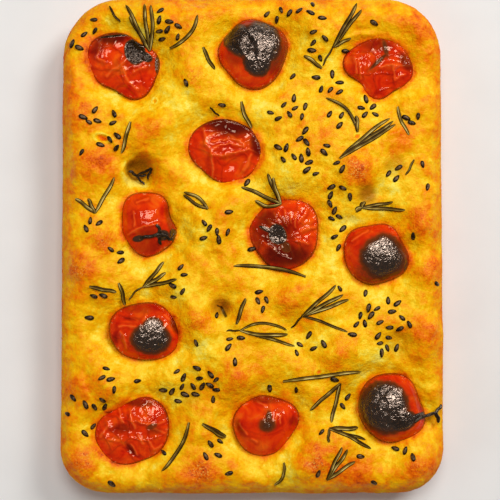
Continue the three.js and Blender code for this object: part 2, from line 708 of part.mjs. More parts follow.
function tomatoSolid(tomato, index) {
  let solid = tomatoBody(tomato);
  const clinging = { [STALKED_TOMATO]: STALK, [CROWNED_TOMATO]: CALYX }[index];
  for (const leaf of clinging?.leaves ?? []) {
    solid = solid.add(leafSolid(clingingPath(clinging.foot, leaf, tomato), leaf));
  }
  return mainPiece(solid);
}

function stalkSolid() {
  return mainPiece(Manifold.union(BURNT_STALK.map((part) => sprigSolid(part, STALK_CLEARANCE))));
}

const crust = new THREE.MeshStandardMaterial({ color: 0xe8a926, roughness: 0.55, metalness: 0 });
const skin = new THREE.MeshStandardMaterial({ color: 0xc42a08, roughness: 0.25, metalness: 0 });
const leafGreen = new THREE.MeshStandardMaterial({ color: 0x5c5428, roughness: 0.6, metalness: 0 });
const charred = new THREE.MeshStandardMaterial({ color: 0x2e211a, roughness: 0.75, metalness: 0 });

function meshOf(name, solid, material) {
  const { vertProperties, triVerts } = solid.getMesh();
  const geometry = new THREE.BufferGeometry();
  geometry.setAttribute("position", new THREE.BufferAttribute(vertProperties, 3));
  geometry.setIndex(new THREE.BufferAttribute(triVerts, 1));
  const mesh = new THREE.Mesh(geometry, material);
  mesh.name = name;
  return mesh;
}

const focaccia = new THREE.Group();
focaccia.add(meshOf("bread", breadSolid(), crust));
TOMATOES.forEach((tomato, i) => {
  const name = `tomato_${String(i + 1).padStart(2, "0")}`;
  focaccia.add(meshOf(name, tomatoSolid(tomato, i), skin));
});
for (const sprig of SPRIGS) {
  focaccia.add(meshOf(`rosemary_${sprig.name}`, sprigSolid(sprig), leafGreen));
}
focaccia.add(meshOf("burnt_stalk", stalkSolid(), charred));

export default focaccia;
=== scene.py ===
"""Rosemary focaccia: baked crust, wrinkled tomatoes, rosemary and black sesame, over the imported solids.

Sizes are in millimetres until a mesh is made, where MM turns them into metres.
"""

import math

import bpy
import numpy as np
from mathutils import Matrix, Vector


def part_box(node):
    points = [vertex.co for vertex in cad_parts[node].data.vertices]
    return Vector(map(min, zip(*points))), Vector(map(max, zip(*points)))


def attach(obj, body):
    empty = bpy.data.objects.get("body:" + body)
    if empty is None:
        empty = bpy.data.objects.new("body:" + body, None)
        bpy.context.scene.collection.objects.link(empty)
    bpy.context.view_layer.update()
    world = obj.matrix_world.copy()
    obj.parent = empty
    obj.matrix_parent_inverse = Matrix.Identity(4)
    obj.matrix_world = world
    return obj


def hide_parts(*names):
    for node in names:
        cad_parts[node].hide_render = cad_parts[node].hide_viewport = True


MM = 0.001

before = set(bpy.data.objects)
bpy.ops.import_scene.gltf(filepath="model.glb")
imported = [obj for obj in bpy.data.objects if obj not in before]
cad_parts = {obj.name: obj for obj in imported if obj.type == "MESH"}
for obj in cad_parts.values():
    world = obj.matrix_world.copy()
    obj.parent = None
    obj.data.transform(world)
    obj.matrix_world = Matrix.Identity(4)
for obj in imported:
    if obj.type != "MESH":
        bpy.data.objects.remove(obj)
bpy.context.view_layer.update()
loaf_low, loaf_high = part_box("bread")

# The loaf, as the solid has it.
LENGTH = (loaf_high.y - loaf_low.y) / MM
WIDTH = 150.0
CORNER_RADIUS_FAR = 23.0
CORNER_RADIUS_NEAR = 18.5
CROWN = 25.0
DOMING = 1.6
TAPER = 0.009
SHOULDER_RUN = 9.5
SHOULDER_RISE = 9.0
BASE_INSET = 4.0
BASE_ROUND = 2.2

# Two gentle waves of the whole top: height, millimetres for each radian along x and along y, and start.
SWELL = 0.45
SWELL_RUN = (6.1, 7.3)
SWELL_START = (1.3, 0.4)
RIPPLE = 0.3
RIPPLE_RUN = (3.9, 5.7)

# Hills of risen dough: x, y, reach, rise, and how brown the top has baked.
HILLS = [
    (-67, 72, 9, 1.9, 0.20),
    (-68, 53, 9, 2.6, 0.65),
    (-63, 33, 9, 2.9, 0.55),
    (-40, 46, 10, 3.6, 0.50),
    (-58, 3, 10, 3.1, 0.75),
    (-67, -9, 9, 2.4, 0.90),
    (-27, 88, 12, 2.4, 0.25),
    (-22, 66, 9, 2.6, 0.60),
    (41, 30, 9, 4.3, 1.00),
    (63, 86, 11, 2.2, 0.45),
    (65, 9, 9, 3.1, 0.65),
    (69, -9, 8, 2.4, 0.70),
    (-22, -30, 9, 3.8, 0.60),
    (14, -19, 12, 3.1, 0.45),
    (-12, 10, 11, 2.9, 0.25),
    (-6, -51, 10, 4.3, 0.50),
    (-66, -84, 10, 2.9, 0.90),
    (-19, -88, 11, 3.6, 0.90),
    (25, -84, 11, 4.1, 0.85),
    (-56, -56, 10, 3.1, 0.35),
    (68, -34, 9, 2.9, 0.50),
    (34, -41, 10, 2.6, 0.45),
    (66, -86, 10, 2.6, 0.75),
    (27, 45, 10, 2.4, 0.35),
    (27, 85, 10, 1.9, 0.10),
    (14, 28, 10, 1.9, 0.05),
]

# Patches of the top that are browner or paler than their height explains: x, y, reach, how much. The patch
# at -36, 24 is painted shade to the right of the hole.
BROWNED = [
    (-57, 32, 7, 0.32), (66, 74, 7, 0.1), (58, 42, 6, 0.35), (-1, -46, 7, 0.2), (40, -87, 8, 0.35),
    (-68, 68, 6, 0.2), (-64, 83, 6, 0.2), (-66, 60, 6, 0.15), (-36, 24, 4, 0.25), (-14, -64, 5, 0.1),
    (70, -58, 6, -0.1), (-70, -55, 7, 0.2), (-27, -18, 5, -0.35), (-20, 5, 6, -0.25), (15, -88, 6, -0.3),
    (-20, -37, 5, -0.35), (15, 25, 7, -0.25), (48, -43, 6, -0.3), (53, 24, 6, -0.3), (4, 53, 7, -0.1),
    (-33, -54, 6, -0.2), (33, 29, 5, -0.25), (-69, -11, 5, -0.15), (27, -38, 6, -0.3),
    (-14, -43, 6, -0.2), (41, 10, 7, -0.3), (-26, 60, 8, -0.25), (27, 85, 8, -0.1), (-38, 83, 6, -0.25),
    (24, 74, 6, -0.1), (-17, 24, 6, -0.1), (-53, 90, 6, -0.15),
]

# Finger dimples with nothing in them: x, y, reach, depth, and how steep the wall is.
DIMPLES = [
    (-43.4, 28.8, 6.3, 6.5, 4),
    (-11.4, -25, 3.6, 3.6, 2),
    (-12, -24, 7, 2, 2),
    (46, 20, 6, 2.6, 2),
    (56, 31, 6, 2.4, 2),
    (-23, -57, 6, 2.4, 2),
    (57, -39, 6, 2.6, 2),
    (40, -25, 6, 2.2, 2),
    (19, -31, 7, 2.6, 2),
    (35, -60, 8, 2.0, 2),
    (-26, 22, 10, 1.8, 2),
    (-34, 62, 9, 1.6, 2),
    (30, 66, 10, 1.8, 2),
    (-66, -33, 8, 1.6, 2),
]

# Small folds and torn lips of the dough: from x, y to x, y, rise, and half width.
FOLDS = [
    (-61, 44.5, -56, 42.2, 0.7, 1.1),
    (-56, 42.2, -52, 38.5, 0.6, 1.1),
    (-36, 62, -24, 50, 0.7, 2.6),
    (38, 80.5, 46, 83, 0.8, 1.2),
    (52, 43, 59, 45.5, 0.7, 1.2),
    (47, 38, 53, 33, 0.7, 1.6),
    (-10.5, -28.5, -4.5, -30, 0.8, 1.6),
    (-15, -20.8, -9.5, -21.2, 0.6, 1.4),
    (-22, -4, -31, 4, 0.6, 2.2),
    (34, -14, 28, -22, 0.6, 2.2),
    (-27, -46, -16, -42, 0.5, 2.2),
    (44, -45, 60, -47, 0.5, 2.4),
    (-34, -60, -24, -63, 0.5, 2.2),
]

# Tomatoes: middle, mean radius and dome; facets and wrinkles of a shrivelled skin; how soft the edge of the
# char is and how it blisters; lobes of the outline, 2, 3, 4 and 5 round it, as (share, heading); hollows
# where the flesh has sunk (x, y, reach, depth); creases of the skin (from x, y to x, y, rise); blackened
# patches and dark red ones, which are partly scorch and partly painted shade (x, y, half sizes, turn,
# strength). Places are from the tomato's middle.
TOMATOES = [
    dict(
        at=(-50.4, 71.0), radius=13.2, dome=4.5, facets=9, wrinkle=0.8, soft=0.2, blister=0.2,
        lobes=[(0.152, -32), (0.022, 39), (0.034, 21), (0.035, 8)],
        hollows=[(-3.7, 4.7, 3.5, 0.9), (6.6, -5.9, 4, 1.2), (-5, -4.4, 4, 1.0), (10, -0.4, 3, 0.8)],
        creases=[(-8.3, 9.4, -10, 2.2, 0.6), (-10, 2.2, -7, 1.0, 0.4), (-6.1, -4.5, 0.9, 1.1, 0.8),
                 (0.2, -1.8, 1.2, -5.7, 0.6), (1.2, -5.7, 5.6, -9.9, 0.6), (4.1, -3.3, 9, -0.9, 0.7)],
        char=[(4.7, 4.6, 3.6, 4.9, 15, 1.4), (8.3, 2.9, 3.2, 1.7, -22, 1.4),
              (-3.8, 11.0, 6.2, 0.5, 6, 1.4), (13.4, -0.2, 1.0, 3.4, 0, 0.6)],
        scorch=[(-9, 8, 3.4, 6, -30, 0.6), (-4, 10.2, 8.5, 3.0, 5, 0.85), (11.5, 1, 3, 4, 0, 0.5),
                (4.5, 1.0, 5.5, 3.0, 20, 0.4)],
    ),
    dict(
        at=(0.6, 75.3), radius=13.5, dome=7.5, facets=4, wrinkle=0.25, soft=0.3, blister=0.12,
        lobes=[(0.016, 60), (0.036, 39), (0.033, 10), (0.022, 33)],
        hollows=[(-4.5, -6.5, 3.5, 0.8), (-1.4, 4.0, 2.2, 1.2), (-0.4, -0.5, 2.0, 1.2)],
        creases=[(-2.9, 8.4, 1.5, -5.5, -0.7), (-7.6, 5.2, -2.2, -3.4, 0.7), (-5.4, 8.2, -3.6, 1.2, 0.5),
                 (-7.8, 1.6, -4.0, -3.4, -0.5)],
        char=[(-5.0, 4.6, 6.4, 5.6, -45, 1.2), (2.5, 3.4, 7.8, 8.4, 0, 1), (1.6, -3.6, 5.2, 5.4, 0, 1),
              (4.0, 2.0, 10.4, 11.0, 0, 0.26)],
        scorch=[(9, -1.5, 5.5, 9, 8, 0.55), (0, 10.5, 11, 3.5, 0, 0.6), (-7.4, -1.6, 3.4, 4.4, 40, 0.5)],
    ),
    dict(
        at=(49.9, 70.2), radius=12.3, dome=4.3, facets=8, wrinkle=0.8, soft=0.8,
        lobes=[(0.071, -17), (0.05, 35), (0.074, -9), (0.034, -30)],
        hollows=[(1.2, -5.8, 4.5, 1.1), (-5.6, 0.5, 4, 0.9), (9.4, 1.4, 3, 1.0), (2.2, 4.5, 4, 0.8)],
        creases=[(-9.8, 3.2, -9, -2.8, 0.5), (-8.4, 3.2, -7.4, -4.6, 0.5), (-0.2, -0.4, 4.7, -0.2, 0.7),
                 (4.7, -0.2, 6.1, -5.6, 0.6), (6.6, -5.1, 9.5, -3.6, 0.5), (1.2, 9.6, 2.5, 4.6, 0.7),
                 (2.5, 4.6, -4.1, -1.6, 0.7), (4.7, -0.2, 12, 0.8, 0.6), (7.2, 4.9, 11.7, 1.4, 0.5)],
        char=[(2.1, 7, 1.0, 3.8, 12, 0.45), (-0.6, 1.7, 4.6, 0.8, 43, 0.45)],
        scorch=[(10.2, 1.6, 2.2, 4.4, 30, 0.7), (-1, 8.6, 9, 3.4, 0, 0.6)],
    ),
    dict(
        at=(-10.4, 37.4), radius=13.4, dome=4.2, facets=7, wrinkle=0.6, soft=0.3,
        lobes=[(0.081, -18), (0.028, 38), (0.024, -6), (0.009, -34)],
        hollows=[(2.4, -5.7, 5, 1.9), (0, 7.4, 6, 1.3), (-10, -1.2, 4, 0.6), (9, -4, 3, 0.6)],
        creases=[(-8.3, 8.3, -7.4, 2.4, 0.7), (-7.4, 2.4, -5.3, -2, 0.8), (-5.3, -2, -5.1, -11.7, 0.8),
                 (-5.4, -1.5, -0.1, -2, 0.7), (-0.1, -2, 9.3, 0.2, 0.9), (9.8, -2, 7.3, -7.3, 0.6),
                 (9.3, 0.2, 12.2, -1.2, 0.5), (-6.5, 5.6, 0, 7.0, 0.5), (0, 7.0, 7.5, 2.2, 0.5),
                 (-5, 3.4, 0.5, 4.4, 0.6), (0.5, 4.4, 6.5, 3.6, 0.5), (-4.5, 0.8, 1.5, 2.4, 0.6),
                 (1.5, 2.4, 7.5, 1.6, 0.5)],
        char=[],
        scorch=[(1.5, 10.6, 12.5, 5.2, -12, 0.95), (12.2, 2.6, 2.6, 5.6, 12, 0.85)],
    ),
    dict(
        at=(-40.8, 8.6), radius=11.7, dome=6.5, facets=4, wrinkle=0.3, soft=0.3,
        lobes=[(0.121, -75), (0.017, -18), (0.028, -27), (0.042, -18)],
        hollows=[(-1, -6.5, 5, 1.5)],
        creases=[(-7.5, -4.4, -0.7, -1, 0.6), (-0.7, -1, 4.5, 0.4, 0.6), (-5.3, 4.6, -4.6, -1, 0.3),
                 (-4, 8.5, 0.5, 9.8, 0.25)],
        char=[(6, -4.4, 2.4, 2.0, 0, 0.9), (10.2, -4.6, 1.4, 2.4, 10, 0.9),
              (-3.4, -5.8, 2.2, 1.2, 10, 0.7)],
        scorch=[(0.5, -8.4, 6, 3.4, 0, 0.5), (8.6, 2, 1.6, 8, 12, 0.6), (0, -4.5, 6.5, 2.2, 18, 0.6),
                (0, 9.8, 7, 3, 0, 0.2)],
    ),
    dict(
        at=(12.9, 4.7), radius=13.9, dome=4.6, facets=10, wrinkle=0.8, soft=0.2,
        lobes=[(0.03, 65), (0.045, 46), (0.01, -16), (0.02, -32)],
        hollows=[(-2.8, -0.4, 4.5, 2.0), (1.1, -6.6, 4, 1.2), (-8.6, -1.6, 4, 1.0), (6.9, 1.4, 3, 0.7)],
        creases=[(6, 1.1, 12.4, 3.5, 0.7), (4.1, 2.7, 3.8, 8.4, 0.6), (-9.6, 2.5, -5, 0.5, 0.8),
                 (0.6, 3, -2.8, 8.6, 0.5), (1.4, 4, 0, 9, 0.5), (2.6, 4.4, 1.8, 9, 0.4),
                 (-2, 4, -4.6, 8, 0.5), (-4, 3, -7, 6, 0.4), (4, -2, 9, -4, 0.6), (1, -4, 3, -9, 0.5),
                 (5.4, 4.6, 8.2, 9.4, 0.5), (-8, -3.8, -3, -7.6, 0.4)],
        char=[(-2.9, -0.4, 3.3, 4.0, 20, 1), (-6.9, 1.5, 3.6, 0.8, -24, 0.9),
              (0.2, -5.2, 2.0, 2.4, 30, 0.4)],
        scorch=[(-7.2, 5.6, 5, 4, 30, 0.7), (-3.6, -3.6, 9.5, 2.6, -32, 0.8), (-1, 1, 6, 6.5, 0, 0.6),
                (0, -8.5, 11, 5, 0, 0.85), (-10.5, -1, 3.5, 8, 0, 0.6)],
    ),
    dict(
        at=(48.3, -3.2), radius=12.5, dome=7, facets=3, wrinkle=0.12, soft=0.5, blister=0.06,
        lobes=[(0.046, -16), (0.017, -15), (0.047, -26), (0.021, -12)],
        hollows=[],
        creases=[(-9.6, 5, -3, 9.4, 0.3), (11.4, -2, 11.6, -6, 0.4)],
        char=[(2.4, -1.0, 7.8, 7.6, 0, 1), (11.6, -4.4, 0.8, 2.4, 0, 0.9),
              (0.0, -6.4, 8.4, 5.4, 0, 0.26)],
        scorch=[(2.4, -2.6, 10.5, 9.6, 0, 0.2), (11.4, 1, 1.6, 8, 18, 0.7), (-4, -11, 6, 1.8, -30, 0.5),
                (0, 10, 9, 4, 0, 0.2)],
    ),
    dict(
        at=(-42.0, -33.6), radius=12.8, dome=6.3, facets=7, wrinkle=0.45, soft=0.4,
        lobes=[(0.109, -8), (0.013, -46), (0.021, -25), (0.005, 5)],
        hollows=[(-6.9, 3.4, 3.5, 1.1), (-11, -2.9, 2.6, 1.3), (-8.5, -6, 3, 0.6)],
        creases=[(-10, 5.6, -2.4, 5.0, -0.7), (-0.4, 4.3, 0.6, 6.6, 0.5), (5.4, 4.7, 6.1, 6.4, 0.5),
                 (-9.7, 0.3, -7.4, -1.4, 0.6), (-7.4, -1.4, -6.9, -5.7, 0.6), (-10, 2.4, -3.6, 2, 0.5),
                 (-5, -4.4, -2.6, -2, 0.5), (8, 7, 11.4, 3, 0.4)],
        char=[(2.6, -2.6, 6.8, 5.6, 0, 1), (3.4, 1.6, 3.8, 3.8, 0, 0.9)],
        scorch=[(-11.4, -2.8, 1.6, 2.6, 0, 0.5), (12, 2.6, 1.6, 4.4, 20, 0.8),
                (-5, 5.2, 4.4, 1.0, 0, 0.45), (2.7, -3.2, 7.6, 6.6, 0, 0.5), (-2, 9.6, 9, 2.8, 0, 0.5)],
    ),
    dict(
        at=(-46.6, -72.6), radius=13.8, dome=4.4, facets=12, wrinkle=0.9, soft=0.35,
        lobes=[(0.112, 28), (0.028, -57), (0.021, -23), (0.011, 31)],
        hollows=[(-5.6, 1.7, 4, 1.2), (2.4, 0.7, 3.5, 1.0), (-1.6, -6.3, 4.5, 1.2), (7.4, -4.3, 3, 0.8)],
        creases=[(-0.6, 8.7, -0.2, 4.3, 0.8), (-0.2, 4.3, 1.1, 1.4, 0.7), (-6.6, 0.9, 0.6, 0.5, -0.6),
                 (2.5, 3.9, 7.4, 3.7, 0.6), (-2.8, -4.9, 0.6, -8.8, -0.8), (-0.9, -4.9, 2, -8.3, 0.6),
                 (6.4, -3.5, 8.4, -6.4, 0.5), (8.4, -6.4, 11.4, -5.4, 0.5), (-12.6, -2, -9.6, 2.6, 0.6),
                 (8.6, 2.6, 12.6, 4.6, 0.5), (8.6, 1.4, 12.8, -0.6, 0.5), (-5.4, 9, -3.6, 4, 0.5),
                 (2.6, -1, 4.4, -4.4, 0.6), (-9, -2.6, -5.6, -3.4, 0.5)],
        char=[(7.6, 2.3, 2.4, 1.2, 20, 0.3)],
        scorch=[(-4.6, 1.4, 4.4, 2.4, 0, 0.6), (2, 11.6, 8.6, 1.8, -6, 0.7),
                (-0.8, -6.9, 1.2, 3.0, 40, 0.7), (8, 1, 3.2, 2.0, 0, 0.5)],
    ),
    dict(
        at=(5.0, -70.0), radius=12.3, dome=5.8, facets=6, wrinkle=0.3, soft=0.7,
        lobes=[(0.06, 26), (0.05, 23), (0.023, 16), (0.018, 20)],
        hollows=[(-1, -6, 4, 0.5)],
        creases=[(-9.8, 1, -6.9, -3.4, 0.5), (0.4, 5, 1.4, 0, 0.5), (4.4, 5.2, 4.2, 0.6, 0.35),
                 (5.8, 4.4, 6.4, 1, 0.35), (-5, -5.2, -3.4, -5.8, 0.5), (-3, 9, 0.6, 7.8, 0.4)],
        char=[(0.9, 0.4, 3.0, 2.5, 0, 0.6), (1.5, 3.2, 1.2, 2.6, 0, 0.5)],
        scorch=[(-1.4, 10.2, 9.6, 1.6, -6, 0.6), (0.9, 0.6, 4.2, 3.6, 0, 0.3),
                (-9.8, -1, 1.6, 5, 25, 0.5), (11, 2, 2.4, 2.4, 0, 0.5)],
    ),
    dict(
        at=(54.6, -63.6), radius=13.4, dome=8, facets=5, wrinkle=0.3, soft=0.32, blister=0.2,
        lobes=[(0.06, -62), (0.025, -35), (0.027, -28), (0.02, -21)],
        hollows=[(0, -5.6, 4, 0.8), (6.5, 3.5, 3.5, 0.7)],
        creases=[(-5, -4.4, 0, -3.6, 0.5), (0, -3.6, 4, -4.6, 0.5), (-4, -6.6, 1, -6.2, 0.4),
                 (-6, 2, -1, 5, 0.3)],
        char=[(-3.0, 0.8, 8.8, 9.8, 0, 1), (3.4, -4.2, 5.6, 3.8, 10, 1.15), (9.4, -3.0, 4.8, 1.3, 14, 1)],
        scorch=[(-1.4, -0.6, 11.4, 12, 0, 0.5), (10.6, 3, 2.6, 7, 20, 0.45)],
    ),
]
TOMATO_BURIED = 12.0
TOMATO_SUNK = 1.0
PRESS_DEPTH = 3.4
PRESS_RUN = 6.0
DOME_FULLNESS = 0.55
RIM_SAMPLES = 18

# Torn walls that drop to the right of a line from x, y to x, y: drop, and width of the wall.
TEARS = [(-49.2, 36.0, -49.6, 23.5, 1.6, 0.9), (-12.2, -21.6, -14.4, -27.0, 0.9, 1.0)]
TEAR_RUN = 4.5
# Burst bubbles and pores: x, y, half sizes, turn, depth.
PORES = [
    (-58.3, 42.0, 2.0, 1.0, -12, 1.5),
    (41, 42.6, 0.8, 0.7, 0, 0.7),
    (-38, 56.6, 0.7, 0.6, 0, 0.6),
    (26, -49, 0.9, 0.7, 30, 0.6),
    (-52, 60, 0.7, 0.5, 0, 0.5),
]
# The hole where the dough has sunk round the dried stalk: x, y, half sizes; its depth; and how steep it is
# on its right, where it fades, and on its left, where it is torn.
HOLE = (-44.2, 29.6, 5.1, 4.6)
HOLE_DEPTH = 1.2
HOLE_FADED = 2
HOLE_TORN = 8
# Raised lips along a tear, round a pore and round the hole: how high, how far out, half width. The first two
# are shares of the drop or the depth, and the distances from a pore or the hole are shares of its size.
TEAR_LIP = (0.35, -0.4, 0.8)
PORE_LIP = (0.35, 1.6, 0.5)
HOLE_LIP = (1.5, 1.22, 0.2)
# Dough darkened at the bottom of a dimple, partly by oil and partly as painted shade: x, y, reach, how dark.
OIL_AND_SHADE = [
    (-12.0, -23.8, 4.0, 0.8),
    (44.9, 20.2, 4.0, 0.82),
    (-43.2, 31.6, 3.8, 0.82),
    (55.5, 31.5, 4.5, 0.4),
    (-24.5, -58, 4.5, 0.35),
    (57, -39, 5, 0.3),
]
# Dark splits in the crust: from x, y to x, y, and half width.
SPLITS = [(-13.4, -23.4, -12.0, -24.0, 0.5), (-12.0, -24.0, -10.3, -27.4, 0.7)]
# The small lumps of the dough, and how its folds wander. Noise is in layers of (size, amount, start), and
# the start picks the pattern.
DOUGH_LUMPS = [(14, 0.6, 3), (7.5, 0.75, 4), (3.9, 0.5, 5), (2.0, 0.17, 6)]
FOLD_WANDER_X = [(5, 1.2, 21)]
FOLD_WANDER_Y = [(5, 1.2, 22)]

# Rosemary: foot in plan, and the leaves as heading and length. Where they are given, the share of the
# length that a leaf bows to its left, and its breadth as a share of a full leaf's, come after.
SPRIGS = {
    "far_left_fan": ((-40.0, 76.0), [(117, 20.5), (120, 15.6), (97, 18.5), (88, 17.9, -0.05)]),
    "far_left_curl": ((-32.0, 77.0), [(49, 16.8, -0.14)]),
    "far_left_short": ((-19.0, 77.4), [(-63, 9.6, -0.03)]),
    "corner_thread": ((-55.7, 93.8), [(-57, 7.7, -0.05, 0.6)]),
    "upper_thread": ((-16.4, 54.0), [(-44, 4.9, 0, 0.5)]),
    "left_upper_bar": ((-47.2, 48.2), [(-106, 12.7)]),
    "beside_tomato": ((-4.1, 56.4), [(-68, 11.2, -0.07)]),
    "far_right_fan": ((31.6, 77.6), [(61, 19.5), (53, 18.3), (28, 7.9, 0, 0.8), (-120, 8.3, 0, 0.5)]),
    "far_right_twig": ((27.3, 69.4), [(144, 8.6)]),
    "right_upper_fork": ((41.0, 44.3), [(132, 18.2, -0.15, 0.8), (93, 6.4)]),
    "right_bundle": ((34.0, 34.0), [(39, 25.3, 0.02), (35, 25.7), (31, 25.7)]),
    "right_edge_curve": ((56.9, 54.4), [(-68, 12.0, -0.07, 0.85)]),
    "right_thread": ((63.2, 33.7), [(-117, 7.0, 0, 0.6)]),
    "left_v": ((-61.1, 12.8), [(143, 9.7), (117, 6.3), (61, 15.8)]),
    "mid_loop": ((-17.2, 14.4), [(145, 11.5, -0.12, 0.85), (149, 11.1, 0.07, 0.85)]),
    "left_sprig": ((-42.5, -16.0), [(50, 12.7), (31, 10.5), (12, 13.6), (-137, 7.6, -0.1, 0.45)]),
    "left_twig": ((-51.9, -14.4), [(-77, 9.2, 0.05)]),
    "left_low_bar": ((-63.2, -15.8), [(-12, 10.7)]),
    "tomato_crown": ((11.3, 16.4), [(156, 16.9), (173, 10.2, 0.15), (115, 12.9), (109, 10.7, 0.01)]),
    "long_needle": ((20.9, -12.0), [(172, 28.4, -0.06)]),
    "right_pair": ((42.5, 15.0), [(10, 12.7, 0, 0.8), (-3, 17.2), (-151, 2.4, 0, 1.2),
                                  (67, 2.5, 0, 1.2)]),
    "right_low_sprig": ((19.5, -27.3), [(42, 17.9), (28, 18.1), (19, 19.4), (-20, 18.7, 0.03, 0.7),
                                        (-130, 6.4, 0, 0.5)]),
    "mid_fork": ((-6.0, -30.4), [(72, 10.7)]),
    "mid_low_loop": ((-4.5, -32.8), [(-1, 18.1, 0.17, 0.7), (-4, 18.6, -0.06), (-16, 22.1, 0, 0.8),
                                     (-178, 5.5, 0, 0.45)]),
    "near_bar": ((12.1, -52.8), [(7, 30.8, 0.01)]),
    "near_fork": ((34.5, -53.6), [(-139, 15.9), (-103, 15.6)]),
    "near_right_fan": ((30.0, -71.0), [(-1, 11.5, 0, 1.2), (-18, 15.2, 0, 0.8), (-27, 18.4, 0.04),
                                       (-95, 5.3, 0, 0.7)]),
    "near_edge_fan": ((29.1, -90.9), [(66, 14.1), (55, 14.3), (33, 13.1)]),
    "near_hook": ((12.4, -84.4), [(-111, 9.8, 0.16, 0.8)]),
    "near_left_curve": ((-24.6, -68.8), [(-120, 21.7, 0.09)]),
    "near_left_pair": ((-19.3, -69.2), [(-28, 10.6), (-33, 10.6)]),
}
# The dried-up tomato stalk in the deep dimple, in two joined parts; the stalk on tomato 11; the calyx on
# tomato 5.
BURNT_STALK = [
    ((-45.6, 27.7), [(144, 3.4, 0, 0.9), (0, 3.9, 0, 0.7), (24, 6.8, 0, 0.7), (-50, 4.8, 0, 0.7)]),
    ((-39.4, 30.4), [(-114, 4.7, 0, 0.8), (-156, 5, 0, 0.7)]),
]
STALK = ((71.6, -65.1), [(200, 9.3, -0.04), (49, 4), (-66, 4.3, 0, 1.2)])
CALYX = ((-35.5, 4.7), [(193, 8.8), (107, 4.1), (-95, 4.3), (-27, 5.2)])
LEAF_WIDTH = 1.55
LEAF_THICKNESS = 0.9
LEAF_SAG = 0.35

# Black sesame: drifts of seed, each x, y, reach, count. Where the seeds of a drift lie is drawn, partly in
# clumps, and so are the loose seeds between.
SEED_DRIFTS = [
    (-64, 77, 10, 5), (-40, 92, 7, 5), (-32, 82, 4, 3), (-60, 44, 10, 11), (-14, 8, 8, 7), (-61, 5, 6, 3),
    (10, 92, 7, 4), (25, 91, 4, 4), (30, 77, 7, 6), (29, 61, 7, 6), (15, 51, 5, 8), (31, 50, 5, 3),
    (44, 52, 4, 5), (64, 50, 4, 3), (14, 39, 7, 7), (26, 33, 7, 9), (57, 27, 4, 3), (33, 17, 6, 8),
    (31, 2, 7, 3), (-52, -11, 13, 5), (-29, -13, 7, 5), (-55, -50, 4, 4), (-67, -64, 9, 8),
    (-31, -54, 7, 8), (-18, -52, 6, 9), (-5, -41, 5, 4), (-13, -83, 8, 5), (48, -22, 9, 10),
    (7, -21, 8, 4), (56, -36, 8, 8), (41, -32, 5, 4), (17, -42, 9, 5), (56, -83, 7, 3), (38, -65, 4, 2),
]
SEED_LENGTH = 3.4
SEED_WIDTH = 2.1
SEED_THICKNESS = 1.2
SEED_BEDDED = 0.3
SEED_SMALLEST = 0.85
SEED_SIZES = 0.3
# Nearest that a seed lies to another, to the outline, to a leaf's middle and, as a share, to a tomato.
SEED_APART = 2.8
SEED_EDGE = 2.5
SEED_BESIDE = 1.9
SEED_RIM = 1.03
# Places tried for each seed; the share beside an earlier one, how far from it, and how much that varies.
SEED_TRIES = 9
SEED_CLUMPED = 0.4
SEED_STEP = 2.9
SEED_SPREAD = 0.6
LOOSE_TRIES = 110
LOOSE_APART = 8.5
LEAF_PLACES = 15

# Draws: the next state is the last one times a factor plus a step, within a range. Noise comes from a table
# of draws with this many on a side.
RANDOM_START = 20931
DRAW_FACTOR = 1664525
DRAW_STEP = 1013904223
DRAW_RANGE = 2**32
NOISE_SIDE = 97


def random_source(start):
    """The same stream of draws that placed the seeds on the solid."""
    state = start

    def draw():
        nonlocal state
        state = (state * DRAW_FACTOR + DRAW_STEP) % DRAW_RANGE
        return state / DRAW_RANGE

    return draw


def towards(heading):
    return math.cos(math.radians(heading)), math.sin(math.radians(heading))


def smooth(low, high, value):
    """0 below low, 1 above high, and an easy curve between."""
    t = np.clip((value - low) / (high - low), 0, 1)
    return t * t * (3 - 2 * t)


def bell(away, reach, power=2):
    """1 in the middle, fading over a reach. A higher power makes it flatter and steeper."""
    return np.exp(-((away / reach) ** power))


def band(away, amount, middle, half_width):
    """An amount along a soft band at some distance."""
    return amount * bell(away - middle, half_width)


def line_away(x, y, x0, y0, x1, y1):
    """How far a point is from the line between two places."""
    run_x, run_y = x1 - x0, y1 - y0
    along = np.clip(((x - x0) * run_x + (y - y0) * run_y) / (run_x**2 + run_y**2), 0, 1)
    return np.hypot(x - x0 - along * run_x, y - y0 - along * run_y)


def slopes(height, x, y, step):
    """How steeply a height climbs along x and along y."""
    climb_x = (height(x + step, y) - height(x - step, y)) / (2 * step)
    climb_y = (height(x, y + step) - height(x, y - step)) / (2 * step)
    return climb_x, climb_y


# The shape of dough and tomatoes as heights over the plan


def soft_noise(x, y, cell, start):
    """Smooth random ups and downs about a cell wide, from -1 to 1."""
    table = np.random.default_rng(start).uniform(-1, 1, (NOISE_SIDE, NOISE_SIDE))
    c, s = towards(40.0 * start)
    gx, gy = (x * c + y * s) / cell, (y * c - x * s) / cell
    i, j = np.floor(gx).astype(int), np.floor(gy).astype(int)
    fx, fy = smooth(0, 1, gx - i), smooth(0, 1, gy - j)
    i, j = i % NOISE_SIDE, j % NOISE_SIDE
    i1, j1 = (i + 1) % NOISE_SIDE, (j + 1) % NOISE_SIDE
    low = table[i, j] * (1 - fx) + table[i1, j] * fx
    high = table[i, j1] * (1 - fx) + table[i1, j1] * fx
    return low * (1 - fy) + high * fy


def layered_noise(x, y, layers, start=0):
    """Noise in layers of (size, amount, start), counted on from another start."""
    return sum(amount * soft_noise(x, y, cell, start + own_start) for cell, amount, own_start in layers)


def outline_radius(tomato, angle):
    swell = 1
    for count, (share, heading) in enumerate(tomato["lobes"], start=2):
        swell = swell + share * np.cos(count * (angle - math.radians(heading)))
    return tomato["radius"] * swell


def share_out(tomato, x, y):
    """How far a point is from a tomato's middle, as a share of its outline."""
    dx, dy = x - tomato["at"][0], y - tomato["at"][1]
    return np.hypot(dx, dy) / outline_radius(tomato, np.arctan2(dy, dx))


